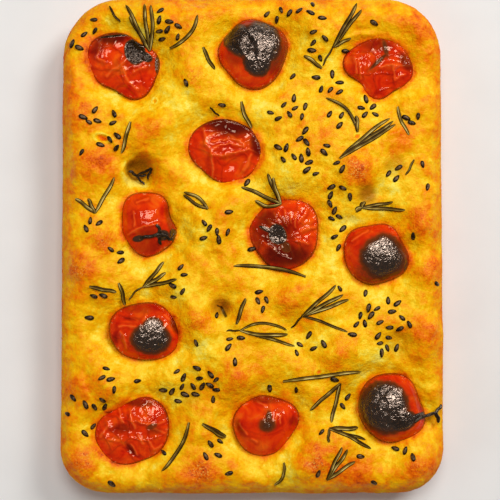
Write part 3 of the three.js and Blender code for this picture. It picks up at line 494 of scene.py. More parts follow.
def beyond_rim(tomato, x, y):
    """How far a point is outside a tomato's outline, and 0 within it."""
    return np.maximum(0, share_out(tomato, x, y) - 1) * tomato["radius"]


def dough_height(x, y):
    u, v = x / (WIDTH / 2), y / (LENGTH / 2)
    z = CROWN + DOMING * (1 - u**2) * (1 - v**2)
    z = z + SWELL * np.sin(x / SWELL_RUN[0] + SWELL_START[0]) * np.sin(y / SWELL_RUN[1] + SWELL_START[1])
    z = z + RIPPLE * np.sin(x / RIPPLE_RUN[0] + y / RIPPLE_RUN[1])
    for cx, cy, reach, rise, _ in HILLS:
        z = z + rise * bell(np.hypot(x - cx, y - cy), reach)
    for cx, cy, reach, depth, steep in DIMPLES:
        z = z - depth * bell(np.hypot(x - cx, y - cy), reach, steep)
    for tomato in TOMATOES:
        z = z - PRESS_DEPTH * bell(beyond_rim(tomato, x, y), PRESS_RUN)
    return z


def corner_radius(y):
    return np.where(y > 0, CORNER_RADIUS_FAR, CORNER_RADIUS_NEAR)


def inset_at(x, y):
    """How far a point of the plan lies inside the loaf's outline."""
    r = corner_radius(y)
    taper = 1 - TAPER * y / (LENGTH / 2)
    px = np.abs(x / taper) - (WIDTH / 2 - r)
    py = np.abs(y) - (LENGTH / 2 - r)
    return r - np.hypot(np.maximum(px, 0), np.maximum(py, 0)) - np.minimum(np.maximum(px, py), 0)


def crust_height(x, y):
    """The dough's top, which rounds over at the shoulder."""
    share = np.clip(1 - np.maximum(0, inset_at(x, y)) / SHOULDER_RUN, 0, 1)
    return dough_height(x, y) - SHOULDER_RISE * (1 - np.sqrt(1 - share**2))


def rim_height(tomato):
    angle = np.arange(RIM_SAMPLES) / RIM_SAMPLES * 2 * math.pi
    r = outline_radius(tomato, angle)
    around = dough_height(tomato["at"][0] + r * np.cos(angle), tomato["at"][1] + r * np.sin(angle))
    return float(around.mean()) - TOMATO_SUNK


def skin_height(tomato, x, y):
    """The skin above the rim: a dome, with hollows where the flesh has sunk."""
    share = np.minimum(1, share_out(tomato, x, y))
    z = tomato["rim"] + (tomato["dome"] + TOMATO_SUNK) * (1 - share**2) ** DOME_FULLNESS
    for dx, dy, reach, depth in tomato["hollows"]:
        away = np.hypot(x - tomato["at"][0] - dx, y - tomato["at"][1] - dy)
        z = z - depth * bell(away, reach) * (1 - share**4)
    return z


for each in TOMATOES:
    each["rim"] = rim_height(each)


def pore_share(pore, x, y):
    """How far a point is from a pore's middle, as a share of its half sizes."""
    c, s = towards(pore[4])
    dx, dy = x - pore[0], y - pore[1]
    return np.hypot((dx * c + dy * s) / pore[2], (dy * c - dx * s) / pore[3])


def hole_share(x, y):
    """How far a point is from the middle of the hole, as a share of its half sizes."""
    return np.hypot((x - HOLE[0]) / HOLE[2], (y - HOLE[1]) / HOLE[3])


def hole_left(x):
    """1 along the torn left wall of the hole, falling to 0 where its other side fades into the crust."""
    return smooth(0.2, -0.7, (x - HOLE[0]) / HOLE[2])


def torn_away(x, y, x0, y0, x1, y1, drop, width):
    """How far a tear drops the dough on the right of its line, less the lip along it."""
    run_x, run_y = x1 - x0, y1 - y0
    length = math.hypot(run_x, run_y)
    right = (run_x * (y - y0) - run_y * (x - x0)) / length
    along = ((x - x0) * run_x + (y - y0) * run_y) / length**2
    wall = smooth(0, width, right) * bell(np.maximum(right, 0), TEAR_RUN)
    return drop * bell(2 * along - 1, 1, 4) * (wall - band(right, *TEAR_LIP))


def lumps(x, y):
    """What the small lumps, the folds, the tears, the pores and the hole add to the dough."""
    z = layered_noise(x, y, DOUGH_LUMPS)
    wx = x + layered_noise(x, y, FOLD_WANDER_X)
    wy = y + layered_noise(x, y, FOLD_WANDER_Y)
    for x0, y0, x1, y1, rise, half_width in FOLDS:
        z = z + rise * bell(line_away(wx, wy, x0, y0, x1, y1), half_width)
    for tear in TEARS:
        z = z - torn_away(wx, wy, *tear)
    for pore in PORES:
        away = pore_share(pore, x, y)
        z = z - pore[5] * (bell(away, 1, 4) - band(away, *PORE_LIP))
    away, left = hole_share(wx, wy), hole_left(wx)
    steep = HOLE_FADED + (HOLE_TORN - HOLE_FADED) * left
    return z - HOLE_DEPTH * bell(away, 1, steep) + left * band(away, *HOLE_LIP)


def surface_height(x, y):
    """The upper surface of dough and tomatoes together."""
    z = crust_height(x, y) + lumps(x, y)
    for tomato in TOMATOES:
        z = np.where(share_out(tomato, x, y) < 1, skin_height(tomato, x, y), z)
    return z


# Meshes and node trees


def add_object(name, data):
    made = bpy.data.objects.new(name, data)
    bpy.context.scene.collection.objects.link(made)
    return made


def mesh_object(name, points, faces=(), finish=None, edges=(), **attributes):
    """An object at the origin from points in millimetres, with float attributes on its points."""
    mesh = bpy.data.meshes.new(name)
    mesh.from_pydata((np.asarray(points) * MM).tolist(), edges, faces)
    for key, values in attributes.items():
        mesh.attributes.new(key, "FLOAT", "POINT").data.foreach_set("value", np.asarray(values, np.float32))
    mesh.shade_smooth()
    if finish:
        mesh.materials.append(finish)
    return add_object(name, mesh)


def ring_faces(rings):
    """Quads between equal rings of point numbers, facing outwards for rings that run anticlockwise down."""
    faces = []
    for upper, lower in zip(rings, rings[1:]):
        for i in range(len(upper)):
            m = (i + 1) % len(upper)
            faces.append((upper[i], lower[i], lower[m], upper[m]))
    return faces


class Graph:
    """Adds nodes to a tree: settings are the node's own, inputs are values or other nodes' outputs."""

    def __init__(self, tree):
        self.tree = tree
        self.place = None

    def fill(self, socket, value):
        if isinstance(value, bpy.types.NodeSocket):
            self.tree.links.new(value, socket)
        else:
            socket.default_value = value

    def add(self, kind, inputs=(), **settings):
        node = self.tree.nodes.new(kind)
        for key, value in settings.items():
            setattr(node, key, value)
        for key, value in dict(inputs).items():
            self.fill(node.inputs[key], value)
        return node.outputs

    def math(self, operation, *values, clamp=False):
        return self.add("ShaderNodeMath", dict(enumerate(values)), operation=operation, use_clamp=clamp)[0]

    def plus(self, first, second):
        return self.math("ADD", first, second)

    def minus(self, first, second):
        return self.math("SUBTRACT", first, second)

    def times(self, first, second):
        return self.math("MULTIPLY", first, second)

    def sway(self, pattern, amount):
        """A pattern's ups and downs about its middle, times an amount."""
        return self.times(self.minus(pattern, 0.5), amount)

    def attribute(self, name, **settings):
        """A value that the mesh's points carry."""
        if self.tree.type == "SHADER":
            return self.add("ShaderNodeAttribute", attribute_name=name)["Fac"]
        return self.add("GeometryNodeInputNamedAttribute", {"Name": name}, **settings)["Attribute"]

    def noise(self, scale, detail, roughness, distortion=0.0):
        inputs = {"Vector": self.place, "Scale": scale, "Detail": detail, "Roughness": roughness}
        return self.add("ShaderNodeTexNoise", {**inputs, "Distortion": distortion})["Fac"]

    def ramp(self, value, stops):
        outputs = self.add("ShaderNodeValToRGB", {"Fac": value})
        ramp = outputs[0].node.color_ramp
        while len(ramp.elements) < len(stops):
            ramp.elements.new(0.5)
        for element, (position, colour) in zip(ramp.elements, stops):
            element.position = position
            element.color = (*colour, 1)
        return outputs["Color"]

    def span(self, value, low, high, to_low=0.0, to_high=1.0):
        inputs = {"Value": value, "From Min": low, "From Max": high, "To Min": to_low, "To Max": to_high}
        return self.add("ShaderNodeMapRange", inputs, interpolation_type="SMOOTHSTEP")[0]

    def blend(self, share, first, second):
        """One colour where the share is 0, another where it is 1."""
        outputs = self.add("ShaderNodeMix", data_type="RGBA")
        sockets = outputs[2].node.inputs
        for socket, value in ((sockets[0], share), (sockets[6], first), (sockets[7], second)):
            self.fill(socket, (*value, 1) if isinstance(value, tuple) else value)
        return outputs[2]


def rgb(*colour):
    """An sRGB colour, red, green and blue from 0 to 255, in linear light."""
    return tuple(c / 255 / 12.92 if c <= 10 else ((c / 255 + 0.055) / 1.055) ** 2.4 for c in colour)


def material(name, build, **sockets):
    """A material: build(graph) returns the linked sockets, and the others are set as they are."""
    made = bpy.data.materials.new(name)
    made.use_nodes = True
    graph = Graph(made.node_tree)
    shader = made.node_tree.nodes["Principled BSDF"]
    graph.place = graph.add("ShaderNodeTexCoord")["Object"]
    for key, value in {**sockets, **build(graph)}.items():
        graph.fill(shader.inputs[key], value)
    return made


def bumps(graph, *layers):
    """Bump layers, each (height, strength, distance in millimetres), one on another."""
    normal = None
    for height, strength, distance in layers:
        inputs = {"Height": height, "Strength": strength, "Distance": distance * MM}
        if normal is not None:
            inputs["Normal"] = normal
        normal = graph.add("ShaderNodeBump", inputs)["Normal"]
    return normal


def geometry_tree(name, *sizes):
    """A Geometry Nodes tree with named inputs for its sizes, as the tree, its graph and the inputs."""
    tree = bpy.data.node_groups.new(name, "GeometryNodeTree")
    tree.interface.new_socket("Geometry", in_out="INPUT", socket_type="NodeSocketGeometry")
    tree.interface.new_socket("Geometry", in_out="OUTPUT", socket_type="NodeSocketGeometry")
    for key in sizes:
        tree.interface.new_socket(key, in_out="INPUT", socket_type="NodeSocketFloat")
    graph = Graph(tree)
    return tree, graph, graph.add("NodeGroupInput")


def end_tree(graph, geometry, finish):
    """Ends a tree with real geometry in its material."""
    whole = graph.add("GeometryNodeRealizeInstances", {"Geometry": geometry})[0]
    done = graph.add("GeometryNodeSetMaterial", {"Geometry": whole, "Material": finish})[0]
    graph.add("NodeGroupOutput", {"Geometry": done})


def plain_mesh(piece, tree, sizes, name=None):
    """Runs a tree on a piece with the given sizes and returns the result as a new piece with a plain mesh."""
    modifier = piece.modifiers.new(tree.name, "NODES")
    modifier.node_group = tree
    for item in tree.interface.items_tree:
        if item.in_out == "INPUT" and item.name in sizes:
            modifier[item.identifier] = float(sizes[item.name])
    evaluated = piece.evaluated_get(bpy.context.evaluated_depsgraph_get())
    mesh = bpy.data.meshes.new_from_object(evaluated)
    kept = name or piece.name
    bpy.data.objects.remove(piece)
    mesh.name = kept
    mesh.shade_smooth()
    return add_object(kept, mesh)


# The crust

GRID = (216, 282)
SHOULDER_STEPS = 14
WALL_STEPS = 9
BASE_STEPS = 4
WALL_HEIGHT = 16.0
# The rounded lip round each tomato, and the pocket under it, whose wall stands between two shares of the rim.
LIP_REACH = 1.0
LIP_DROP = 0.45
POCKET_DEPTH = 6.0
POCKET_WALL = (0.82, 0.96)

# Browning of the level dough; more along the edge and how far in; its noise, which drifts down the side.
LEVEL_BROWN = 0.365
EDGE_BROWN = 0.09
EDGE_RUN = 11
BROWN_NOISE = [(7.5, 0.06, 4), (3.9, 0.07, 5)]
NOISE_DOWN = 0.8
# Slopes that face the far right are paler as painted light, and those that face the near left browner as
# painted shade: how much, the shares of x and y in that, the steepest slope that counts, how far down it
# fades, and the step of a slope.
PAINTED_SLOPE_LIGHT = 0.2
PAINTED_LIGHT_TOWARDS = (0.4, 0.6)
STEEPEST = 0.7
PAINTED_LIGHT_DOWN = 3
SLOPE_STEP = 0.5
# How brown a hill's top is for its column in HILLS, how wide for the hill's reach, and its ragged edge.
HILL_BROWN = 0.7
HILLTOP = 0.72
HILLTOP_NOISE = [(6, 0.3, 11), (2.6, 0.15, 12)]
DIMPLE_PALE = 0.01
# Round a tomato the dough is darkened at the rim as painted shade, how much and how far, and pale beyond
# it. Pale bands, round pores and the hole too, are an amount, how far out, and half width. Pores are darkened
# inside as painted shade, and the bands round pores and the hole are painted light on their lips.
RIM_SHADE = 0.3
RIM_RUN = 1.1
RIM_PALE = (0.1, 3.5, 3)
PORE_SHADE = 0.35
PORE_LIP_LIGHT = (0.3, 1.7, 0.5)
HOLE_LIP_LIGHT = (0.2, 1.25, 0.2)
# Browning added down to the shoulder's foot, then at the wall's top and down to its foot; the base.
SHOULDER_BROWN = 0.1
WALL_BROWN = 0.08
FOOT_BROWN = 0.1
BASE_BROWN = 0.86
# How dark the hole is made, partly by oil and partly as painted shade, and the ragged edge of the dark.
HOLE_OIL_AND_SHADE = 0.83
OIL_AND_SHADE_NOISE = [(3, 0.08, 51)]
# Between these heights the finish of the top begins, and this far in its edge is matt.
TOP_FROM = (10, 18)
MATT_EDGE = 3.5


def outline_points(u, v, inset):
    """The loaf's outline for points of the unit square's border, drawn in by an inset."""
    a, b = WIDTH / 2 - inset, LENGTH / 2 - inset
    r = corner_radius(v) - inset
    x, y = np.abs(a * u), np.abs(b * v)
    from_corner = (a - x + b - y) / r
    along_end = np.abs(v) > np.abs(u)
    swing = math.pi / 4 * (1 + np.where(along_end, from_corner, -from_corner))
    rounded = from_corner < 1
    x = np.where(rounded, a - r + r * np.cos(swing), x)
    y = np.where(rounded, b - r + r * np.sin(swing), y)
    return np.sign(u) * x * (1 - TAPER * v), np.sign(v) * y


def baked_height(x, y):
    """The crust with its lumps, the rounded lip round each tomato and the pocket under it."""
    z = crust_height(x, y) + lumps(x, y)
    for tomato in TOMATOES:
        z = z - LIP_DROP * bell(beyond_rim(tomato, x, y), LIP_REACH)
        z = z - POCKET_DEPTH * (1 - smooth(*POCKET_WALL, share_out(tomato, x, y)))
    return z


def browning_at(x, y, down=0.0):
    """How far the crust has browned, with painted shade and light added, 0 pale to 1 dark. Down is how far
    below the shoulder a point lies.
    """
    brown = LEVEL_BROWN + EDGE_BROWN * bell(inset_at(x, y), EDGE_RUN)
    brown = brown + layered_noise(x + NOISE_DOWN * down, y + NOISE_DOWN * down, BROWN_NOISE)
    # Painted light and shade: slopes that face the far right are paler, those that face the near left
    # browner.
    climb_x, climb_y = slopes(dough_height, x, y, SLOPE_STEP)
    climb = np.clip(PAINTED_LIGHT_TOWARDS[0] * climb_x + PAINTED_LIGHT_TOWARDS[1] * climb_y, -STEEPEST, STEEPEST)
    brown = brown + PAINTED_SLOPE_LIGHT * climb * np.exp(-down / PAINTED_LIGHT_DOWN)
    brown = 1 - (1 - brown) * (1 - HILL_BROWN * hilltop_at(x, y))
    for cx, cy, reach, more in BROWNED:
        brown = brown + more * bell(np.hypot(x - cx, y - cy), reach)
    for cx, cy, reach, depth, steep in DIMPLES:
        brown = brown - DIMPLE_PALE * depth * bell(np.hypot(x - cx, y - cy), reach, steep)
    for tomato in TOMATOES:
        beyond = beyond_rim(tomato, x, y)
        # Painted shade darkens the dough at each tomato's rim.
        brown = brown + RIM_SHADE * bell(beyond, RIM_RUN) - band(beyond, *RIM_PALE)
    for pore in PORES:
        away = pore_share(pore, x, y)
        # Painted shade inside each pore, and painted light on its lip.
        brown = brown + PORE_SHADE * bell(away, 1, 4) - band(away, *PORE_LIP_LIGHT)
    # Painted light along the torn lip of the hole.
    return brown - hole_left(x) * band(hole_share(x, y), *HOLE_LIP_LIGHT)


def hilltop_at(x, y):
    """How near a point is to the browned top of a hill, 0 to 1."""
    found = np.zeros(x.shape)
    ragged = 1 + layered_noise(x, y, HILLTOP_NOISE)
    for cx, cy, reach, _, top in HILLS:
        found = np.maximum(found, top * bell(np.hypot(x - cx, y - cy), HILLTOP * reach * ragged))
    return found


def soaked_at(x, y):
    """How dark the dough is at the bottom of the dimples, partly from oil and partly as painted shade."""
    found = np.zeros(x.shape)
    for cx, cy, reach, dark in OIL_AND_SHADE:
        found = np.maximum(found, dark * bell(np.hypot(x - cx, y - cy), reach, 4))
    share, soft = hole_share(x, y) + layered_noise(x, y, OIL_AND_SHADE_NOISE), 1 - hole_left(x)
    return np.maximum(found, HOLE_OIL_AND_SHADE * (1 - smooth(0.92 - 0.6 * soft, 1.08 + 0.3 * soft, share)))


def side_layers(u, v):
    """Rings of points from the shoulder down to the base, each as x, y, height and browning, which holds
    painted shade and light.
    """
    layers = []
    for k in range(1, SHOULDER_STEPS + 1):
        turn = k / SHOULDER_STEPS * math.pi / 2
        drop = SHOULDER_RISE * (1 - math.cos(turn))
        x, y = outline_points(u, v, SHOULDER_RUN * (1 - math.sin(turn)))
        widest = dough_height(x, y) + lumps(x, y) - drop
        layers.append((x, y, widest, browning_at(x, y, drop) + SHOULDER_BROWN * (k / SHOULDER_STEPS) ** 3))
    for k in range(1, WALL_STEPS + 1):
        share = k / WALL_STEPS
        x, y = outline_points(u, v, BASE_INSET * share**1.5)
        brown = browning_at(x, y, SHOULDER_RISE + WALL_HEIGHT * share) + WALL_BROWN + FOOT_BROWN * share
        layers.append((x, y, widest * (1 - share) + BASE_ROUND * share, brown))
    for k in range(1, BASE_STEPS + 1):
        turn = k / BASE_STEPS * math.pi / 2
        x, y = outline_points(u, v, BASE_INSET + BASE_ROUND * (1 - math.cos(turn)))
        height = BASE_ROUND * (1 - math.sin(turn))
        layers.append((x, y, np.full(x.shape, height), np.full(x.shape, BASE_BROWN)))
    return layers


def bread_shape():
    """The loaf's points, its faces, and the browning with painted shade and light of each point: a grid on
    top, and rings below it.
    """
    nx, ny = GRID
    u, v = np.meshgrid(np.linspace(-1, 1, nx + 1), np.linspace(-1, 1, ny + 1))
    u, v = u.ravel(), v.ravel()
    ring = np.maximum(np.maximum(np.abs(u), np.abs(v)), 1e-9)
    x, y = outline_points(u / ring, v / ring, SHOULDER_RUN)
    x, y = x * ring, y * ring
    row = np.arange(len(u)).reshape(ny + 1, nx + 1)
    cells = np.stack([row[:-1, :-1], row[:-1, 1:], row[1:, 1:], row[1:, :-1]], axis=-1)
    border = np.concatenate([row[0, :-1], row[:-1, -1], row[-1, :0:-1], row[:0:-1, 0]])

    layers = side_layers(u[border], v[border])
    below = len(u) + np.arange(len(layers) * len(border)).reshape(len(layers), -1)
    rings = np.vstack([border, below]).tolist()
    faces = cells.reshape(-1, 4).tolist() + ring_faces(rings)
    faces.append(tuple(reversed(rings[-1])))
    top = (x, y, baked_height(x, y), browning_at(x, y))
    x, y, z, brown = (np.concatenate(values) for values in zip(top, *layers))
    return np.column_stack([x, y, z]), faces, brown


def crust_relief(finish):
    """Fine blisters where the crust has browned, pushed out along the normal."""
    tree, graph, inputs = geometry_tree("Crust blisters", "Blister height", "Blister scale")
    graph.place = graph.add("GeometryNodeInputPosition")[0]
    height = graph.add("ShaderNodeSeparateXYZ", {0: graph.place})["Z"]
    blister = graph.span(graph.noise(inputs["Blister scale"], 2.0, 0.6), 0.42, 0.68)
    blister = graph.times(blister, graph.span(graph.attribute("browning"), 0.3, 0.85, 0.15, 1.0))
    blister = graph.times(blister, inputs["Blister height"])
    push = graph.times(blister, graph.span(height, 0.0, 3 * MM))
    normal = graph.add("GeometryNodeInputNormal")[0]
    offset = graph.add("ShaderNodeVectorMath", {0: normal, "Scale": push}, operation="SCALE")[0]
    moved = graph.add("GeometryNodeSetPosition", {"Geometry": inputs["Geometry"], "Offset": offset})[0]
    end_tree(graph, moved, finish)
    return tree


def stroke_distance(graph, start, end):
    """How far a point is in plan from the line between two places."""
    kind = "ShaderNodeVectorMath"
    run = ((end[0] - start[0]) * MM, (end[1] - start[1]) * MM, 0)
    per_length = 1 / (run[0] ** 2 + run[1] ** 2)
    scaled_run = (run[0] * per_length, run[1] * per_length, 0)
    away = graph.add(kind, {0: graph.place, 1: (start[0] * MM, start[1] * MM, 0)}, operation="SUBTRACT")[0]
    away = graph.add(kind, {0: away, 1: (1, 1, 0)}, operation="MULTIPLY")[0]
    along = graph.add(kind, {0: away, 1: scaled_run}, operation="DOT_PRODUCT")["Value"]
    along = graph.math("MULTIPLY", along, 1.0, clamp=True)
    nearest = graph.add(kind, {0: run, "Scale": along}, operation="SCALE")[0]
    away = graph.add(kind, {0: away, 1: nearest}, operation="SUBTRACT")[0]
    return graph.add(kind, {0: away}, operation="LENGTH")["Value"]


def baked_colour(graph, hilltop, patch):
    """Gold to brown by how far the crust has browned, with painted shade and light, mottled, and painted
    glints on the brownest tops.
    """
    level = graph.attribute("browning")
    level = graph.plus(level, graph.sway(graph.noise(70.0, 4.0, 0.6, 0.6), 0.15))
    level = graph.plus(level, graph.sway(patch, 0.9))
    level = graph.plus(level, graph.sway(graph.noise(620.0, 3.0, 0.6), 0.42))
    speck = graph.noise(1500.0, 2.0, 0.6)
    level = graph.plus(level, graph.sway(speck, graph.span(hilltop, 0.1, 0.7, 0.3, 0.6)))
    colour = graph.ramp(level, [
        (0.00, rgb(255, 230, 90)),
        (0.15, rgb(254, 211, 40)),
        (0.30, rgb(251, 188, 6)),
        (0.45, rgb(247, 166, 0)),
        (0.60, rgb(246, 137, 0)),
        (0.75, rgb(238, 106, 1)),
        (0.88, rgb(214, 78, 2)),
        (1.00, rgb(150, 46, 4)),
    ])
    # Painted glints of light, pale gold, on the brownest tops.
    glint = graph.span(graph.noise(1600.0, 2.0, 0.6), 0.55, 0.62)
    glint = graph.times(glint, graph.span(graph.plus(hilltop, patch), 1.1, 1.45))
    return graph.blend(graph.times(glint, 0.6), colour, rgb(255, 200, 84))


def soaked_colour(graph, colour, patch):
    """Dough darkened partly by oil and partly as painted shade, and the dark splits in it."""
    # Oil-darkened dough with painted shade at the bottom of the dimples and the hole.
    oil_and_shade_tone = graph.ramp(patch, [(0.35, rgb(138, 70, 2)), (0.65, rgb(166, 100, 14))])
    colour = graph.blend(graph.attribute("soaked"), colour, oil_and_shade_tone)
    for x0, y0, x1, y1, half_width in SPLITS:
        away = graph.plus(stroke_distance(graph, (x0, y0), (x1, y1)), graph.sway(patch, 0.8 * MM))
        split = graph.span(away, 0.4 * half_width * MM, 1.3 * half_width * MM, 0.9, 0.0)
        colour = graph.blend(split, colour, rgb(46, 22, 6))
    return colour


def crust_material():
    def build(graph):
        hilltop = graph.attribute("hilltop")
        patch = graph.noise(230.0, 3.0, 0.55, 0.3)
        pore = graph.noise(420.0, 3.0, 0.55)
        grain = graph.noise(1300.0, 3.0, 0.6)
        strong = graph.span(hilltop, 0.1, 0.7, 0.4, 1.0)
        return {
            "Base Color": soaked_colour(graph, baked_colour(graph, hilltop, patch), patch),
            "Roughness": graph.span(graph.attribute("edge"), 0.1, 0.9, 0.4, 0.85),
            "Coat Weight": graph.times(graph.span(hilltop, 0.3, 0.8), 0.04),
            "Normal": bumps(graph, (pore, 0.7, 1.05), (grain, strong, 0.3)),
        }

    return material("Baked crust", build, **{
        "Specular IOR Level": 0.26,
        "Specular Tint": (1.0, 0.84, 0.34, 1.0),
        "Coat Roughness": 0.28,
    })


def make_bread():
    points, faces, brown = bread_shape()
    x, y, z = points.T
    top = smooth(*TOP_FROM, z)
    crust = crust_material()
    shell = mesh_object(
        "loaf_crust", points, faces, crust, browning=brown, hilltop=hilltop_at(x, y) * top,
        soaked=soaked_at(x, y) * top, edge=bell(np.maximum(0, inset_at(x, y)), MATT_EDGE))
    sizes = {"Blister height": 0.2 * MM, "Blister scale": 560.0}
    loaf = plain_mesh(shell, crust_relief(crust), sizes)
    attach(loaf, "root")
    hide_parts("bread")


# The tomatoes

TOMATO_SIDES = 190
SKIN_RINGS = 74
BODY_RINGS = 12
RIM_CROWDING = 0.8
# The skin's relief begins between these heights over the rim.
RELIEF_FROM = (-0.5, 1)
CREASE_WIDTH = 0.55
CREASE_WANDER_X = [(2.6, 0.5, 0), (1.0, 0.14, 20)]
CREASE_WANDER_Y = [(2.6, 0.5, 40), (1.0, 0.14, 60)]
GOLDEN_ANGLE = 137.5
FACET_TURN = 50
FACET_EDGE = 0.7
FACET_RISE = 0.55
FACET_MIDDLE = 0.3
FACET_SHARP = 0.6
# Pleats and fine wrinkles of the skin: size, height, start.
PLEATS = [(3.0, 0.28, 80), (1.3, 0.1, 90)]
PATCH_WANDER = [(4.5, 0.08, 0), (1.4, 0.04, 1)]
SCORCH_AND_SHADE_SOFT = 0.6
CHAR_RISE = 0.25
CHAR_BLISTER = 0.08
BLISTERS = [(2.6, 1, 7), (1.2, 0.3, 8)]


def facets_at(tomato, number, px, py):
    """1 along the edges between the facets of a shrivelled skin, 0 within them."""
    draw = random_source(RANDOM_START + number)
    nearest = np.full(px.shape, np.inf)
    second = np.full(px.shape, np.inf)
    for i in range(tomato["facets"]):
        angle = math.radians(GOLDEN_ANGLE * i + FACET_TURN * draw())
        out = tomato["radius"] * math.sqrt((i + draw()) / tomato["facets"])
        away = np.hypot(px - out * math.cos(angle), py - out * math.sin(angle))
        second = np.minimum(second, np.maximum(nearest, away))
        nearest = np.minimum(nearest, away)
    return np.exp(-(second - nearest) / FACET_EDGE)


def skin_creases(tomato, number, px, py):
    """Height added by creases, shrivelled facets and fine wrinkles, and how sharp each place is."""
    px = px + layered_noise(px, py, CREASE_WANDER_X, number)
    py = py + layered_noise(px, py, CREASE_WANDER_Y, number)
    z = np.zeros(px.shape)
    sharp = np.zeros(px.shape)
    for x0, y0, x1, y1, rise in tomato["creases"]:
        edge = np.exp(-line_away(px, py, x0, y0, x1, y1) / (CREASE_WIDTH * (1 + abs(rise))))
        z = z + rise * edge
        sharp = np.maximum(sharp, edge * (rise > 0))
    facet = facets_at(tomato, number, px, py)
    folded = FACET_RISE * (facet - FACET_MIDDLE)
    for cell, height, start in PLEATS:
        folded = folded + height * (1 - 2 * np.abs(soft_noise(px, py, cell, number + start)))
    return z + tomato["wrinkle"] * folded, np.maximum(sharp, FACET_SHARP * facet * tomato["wrinkle"])


def patches_at(patches, px, py, soft, start):
    """How far a point lies in soft-edged oval patches of the skin, 0 to 1."""
    found = np.zeros(px.shape)
    wave = layered_noise(px, py, PATCH_WANDER, start)
    for dx, dy, rx, ry, turn, strength in patches:
        c, s = towards(turn)
        qx, qy = px - dx, py - dy
        away = np.hypot((qx * c + qy * s) / rx, (qy * c - qx * s) / ry) + wave
        found = np.maximum(found, strength * (1 - smooth(1 - soft, 1 + soft, away)))
    return found


def tomato_points(tomato):
    """Rings from the top of the skin over the rim and down the body, then the top and the bottom."""
    cx, cy = tomato["at"]
    angle = np.arange(TOMATO_SIDES) / TOMATO_SIDES * 2 * math.pi
    outline = outline_radius(tomato, angle)
    parts = []
    for k in range(1, SKIN_RINGS + BODY_RINGS):
        above = k <= SKIN_RINGS
        turn = k / SKIN_RINGS if above else 1 - (k - SKIN_RINGS) / BODY_RINGS
        share = math.sin(turn * math.pi / 2) ** (RIM_CROWDING if above else 1)
        x, y = cx + outline * share * np.cos(angle), cy + outline * share * np.sin(angle)
        below = np.full(x.shape, tomato["rim"] - TOMATO_BURIED * math.sqrt(1 - share**2))
        parts.append(np.column_stack([x, y, skin_height(tomato, x, y) if above else below]))
    top = float(skin_height(tomato, np.array(cx), np.array(cy)))
    return np.vstack([*parts, [(cx, cy, top), (cx, cy, tomato["rim"] - TOMATO_BURIED)]])


def tomato_faces():
    """Faces between the rings, and those that close the top and the bottom."""
    count = TOMATO_SIDES * (SKIN_RINGS + BODY_RINGS - 1)
    rings = np.arange(count).reshape(-1, TOMATO_SIDES).tolist()
    faces = ring_faces(rings)
    for i in range(TOMATO_SIDES):
        m = (i + 1) % TOMATO_SIDES
        faces.append((count, rings[0][i], rings[0][m]))
        faces.append((count + 1, rings[-1][m], rings[-1][i]))
    return faces


def make_tomato(number, tomato, faces, skin):
    points = tomato_points(tomato)
    x, y, z = points.T
    px, py = x - tomato["at"][0], y - tomato["at"][1]
    share = np.minimum(1, share_out(tomato, x, y))
    above = smooth(*RELIEF_FROM, z - tomato["rim"])
    relief, sharp = skin_creases(tomato, number, px, py)
    char = patches_at(tomato["char"], px, py, tomato["soft"], number) * above
    # Dark red patches, partly scorch and partly painted shade.
    scorch = patches_at(tomato["scorch"], px, py, SCORCH_AND_SHADE_SOFT, number + 30)
    blister = CHAR_RISE + tomato.get("blister", CHAR_BLISTER) * layered_noise(px, py, BLISTERS, number)
    points[:, 2] += above * (1 - share**8) * (relief * (1 - 0.5 * char) + char * blister)
    name = f"cherry_tomato_{number:02d}"
    fold = sharp * above
    piece = mesh_object(name, points, faces, skin, char=char, scorch=scorch, fold=fold, rimward=share)
    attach(piece, "root")
    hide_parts(f"tomato_{number:02d}")


def red_colour(graph, scorch, edge):
    """Mottled red, darker where scorched and where shade is painted; painted shade beside the folds and at
    the rim, painted highlight along the folds and painted glints near the rim.
    """
    fold = graph.attribute("fold")
    red = graph.ramp(graph.noise(150.0, 3.0, 0.55, 0.8), [
        (0.30, rgb(201, 27, 1)),
        (0.44, rgb(224, 48, 1)),
        (0.56, rgb(235, 65, 2)),
        (0.72, rgb(242, 94, 8)),
    ])
    # Painted shade beside the folds.
    crease_shade = graph.times(graph.span(fold, 0.05, 0.25), graph.span(fold, 0.35, 0.6, 0.32, 0.0))
    red = graph.blend(crease_shade, red, rgb(150, 8, 1))
    # Painted highlight along the folds.
    red = graph.blend(graph.span(fold, 0.5, 1.0, 0.0, 0.7), red, rgb(244, 104, 34))
    # Darker red where scorched, and where shade is painted.
    red = graph.blend(graph.span(scorch, 0.05, 1.0, 0.0, 0.95), red, rgb(66, 2, 1))
    # Painted shade at the rim, where the tomato meets the dough.
    red = graph.blend(graph.span(edge, 0.92, 1.0, 0.0, 0.85), red, rgb(84, 6, 2))
    # Painted glints of light near the rim.
    near_rim = graph.times(graph.span(edge, 0.88, 0.92), graph.span(edge, 0.97, 0.99, 1.0, 0.0))
    rim_glints = graph.times(graph.span(graph.noise(620.0, 3.0, 0.6), 0.58, 0.68), near_rim)
    rim_glints = graph.times(rim_glints, graph.span(scorch, 0.2, 0.6, 0.6, 0.1))
    return graph.blend(rim_glints, red, rgb(255, 168, 96))


def charred_colour(graph, mask):
    """Brown at the edge of the char to black in its middle, with specks of ash."""
    speck = graph.noise(1500.0, 4.0, 0.75)
    baked = graph.ramp(mask, [
        (0.10, rgb(150, 50, 8)),
        (0.35, rgb(108, 46, 12)),
        (0.65, rgb(58, 26, 9)),
        (0.95, rgb(11, 5, 3)),
    ])
    return graph.blend(graph.span(speck, 0.5, 0.72, 0.0, 0.5), baked, rgb(112, 70, 40))


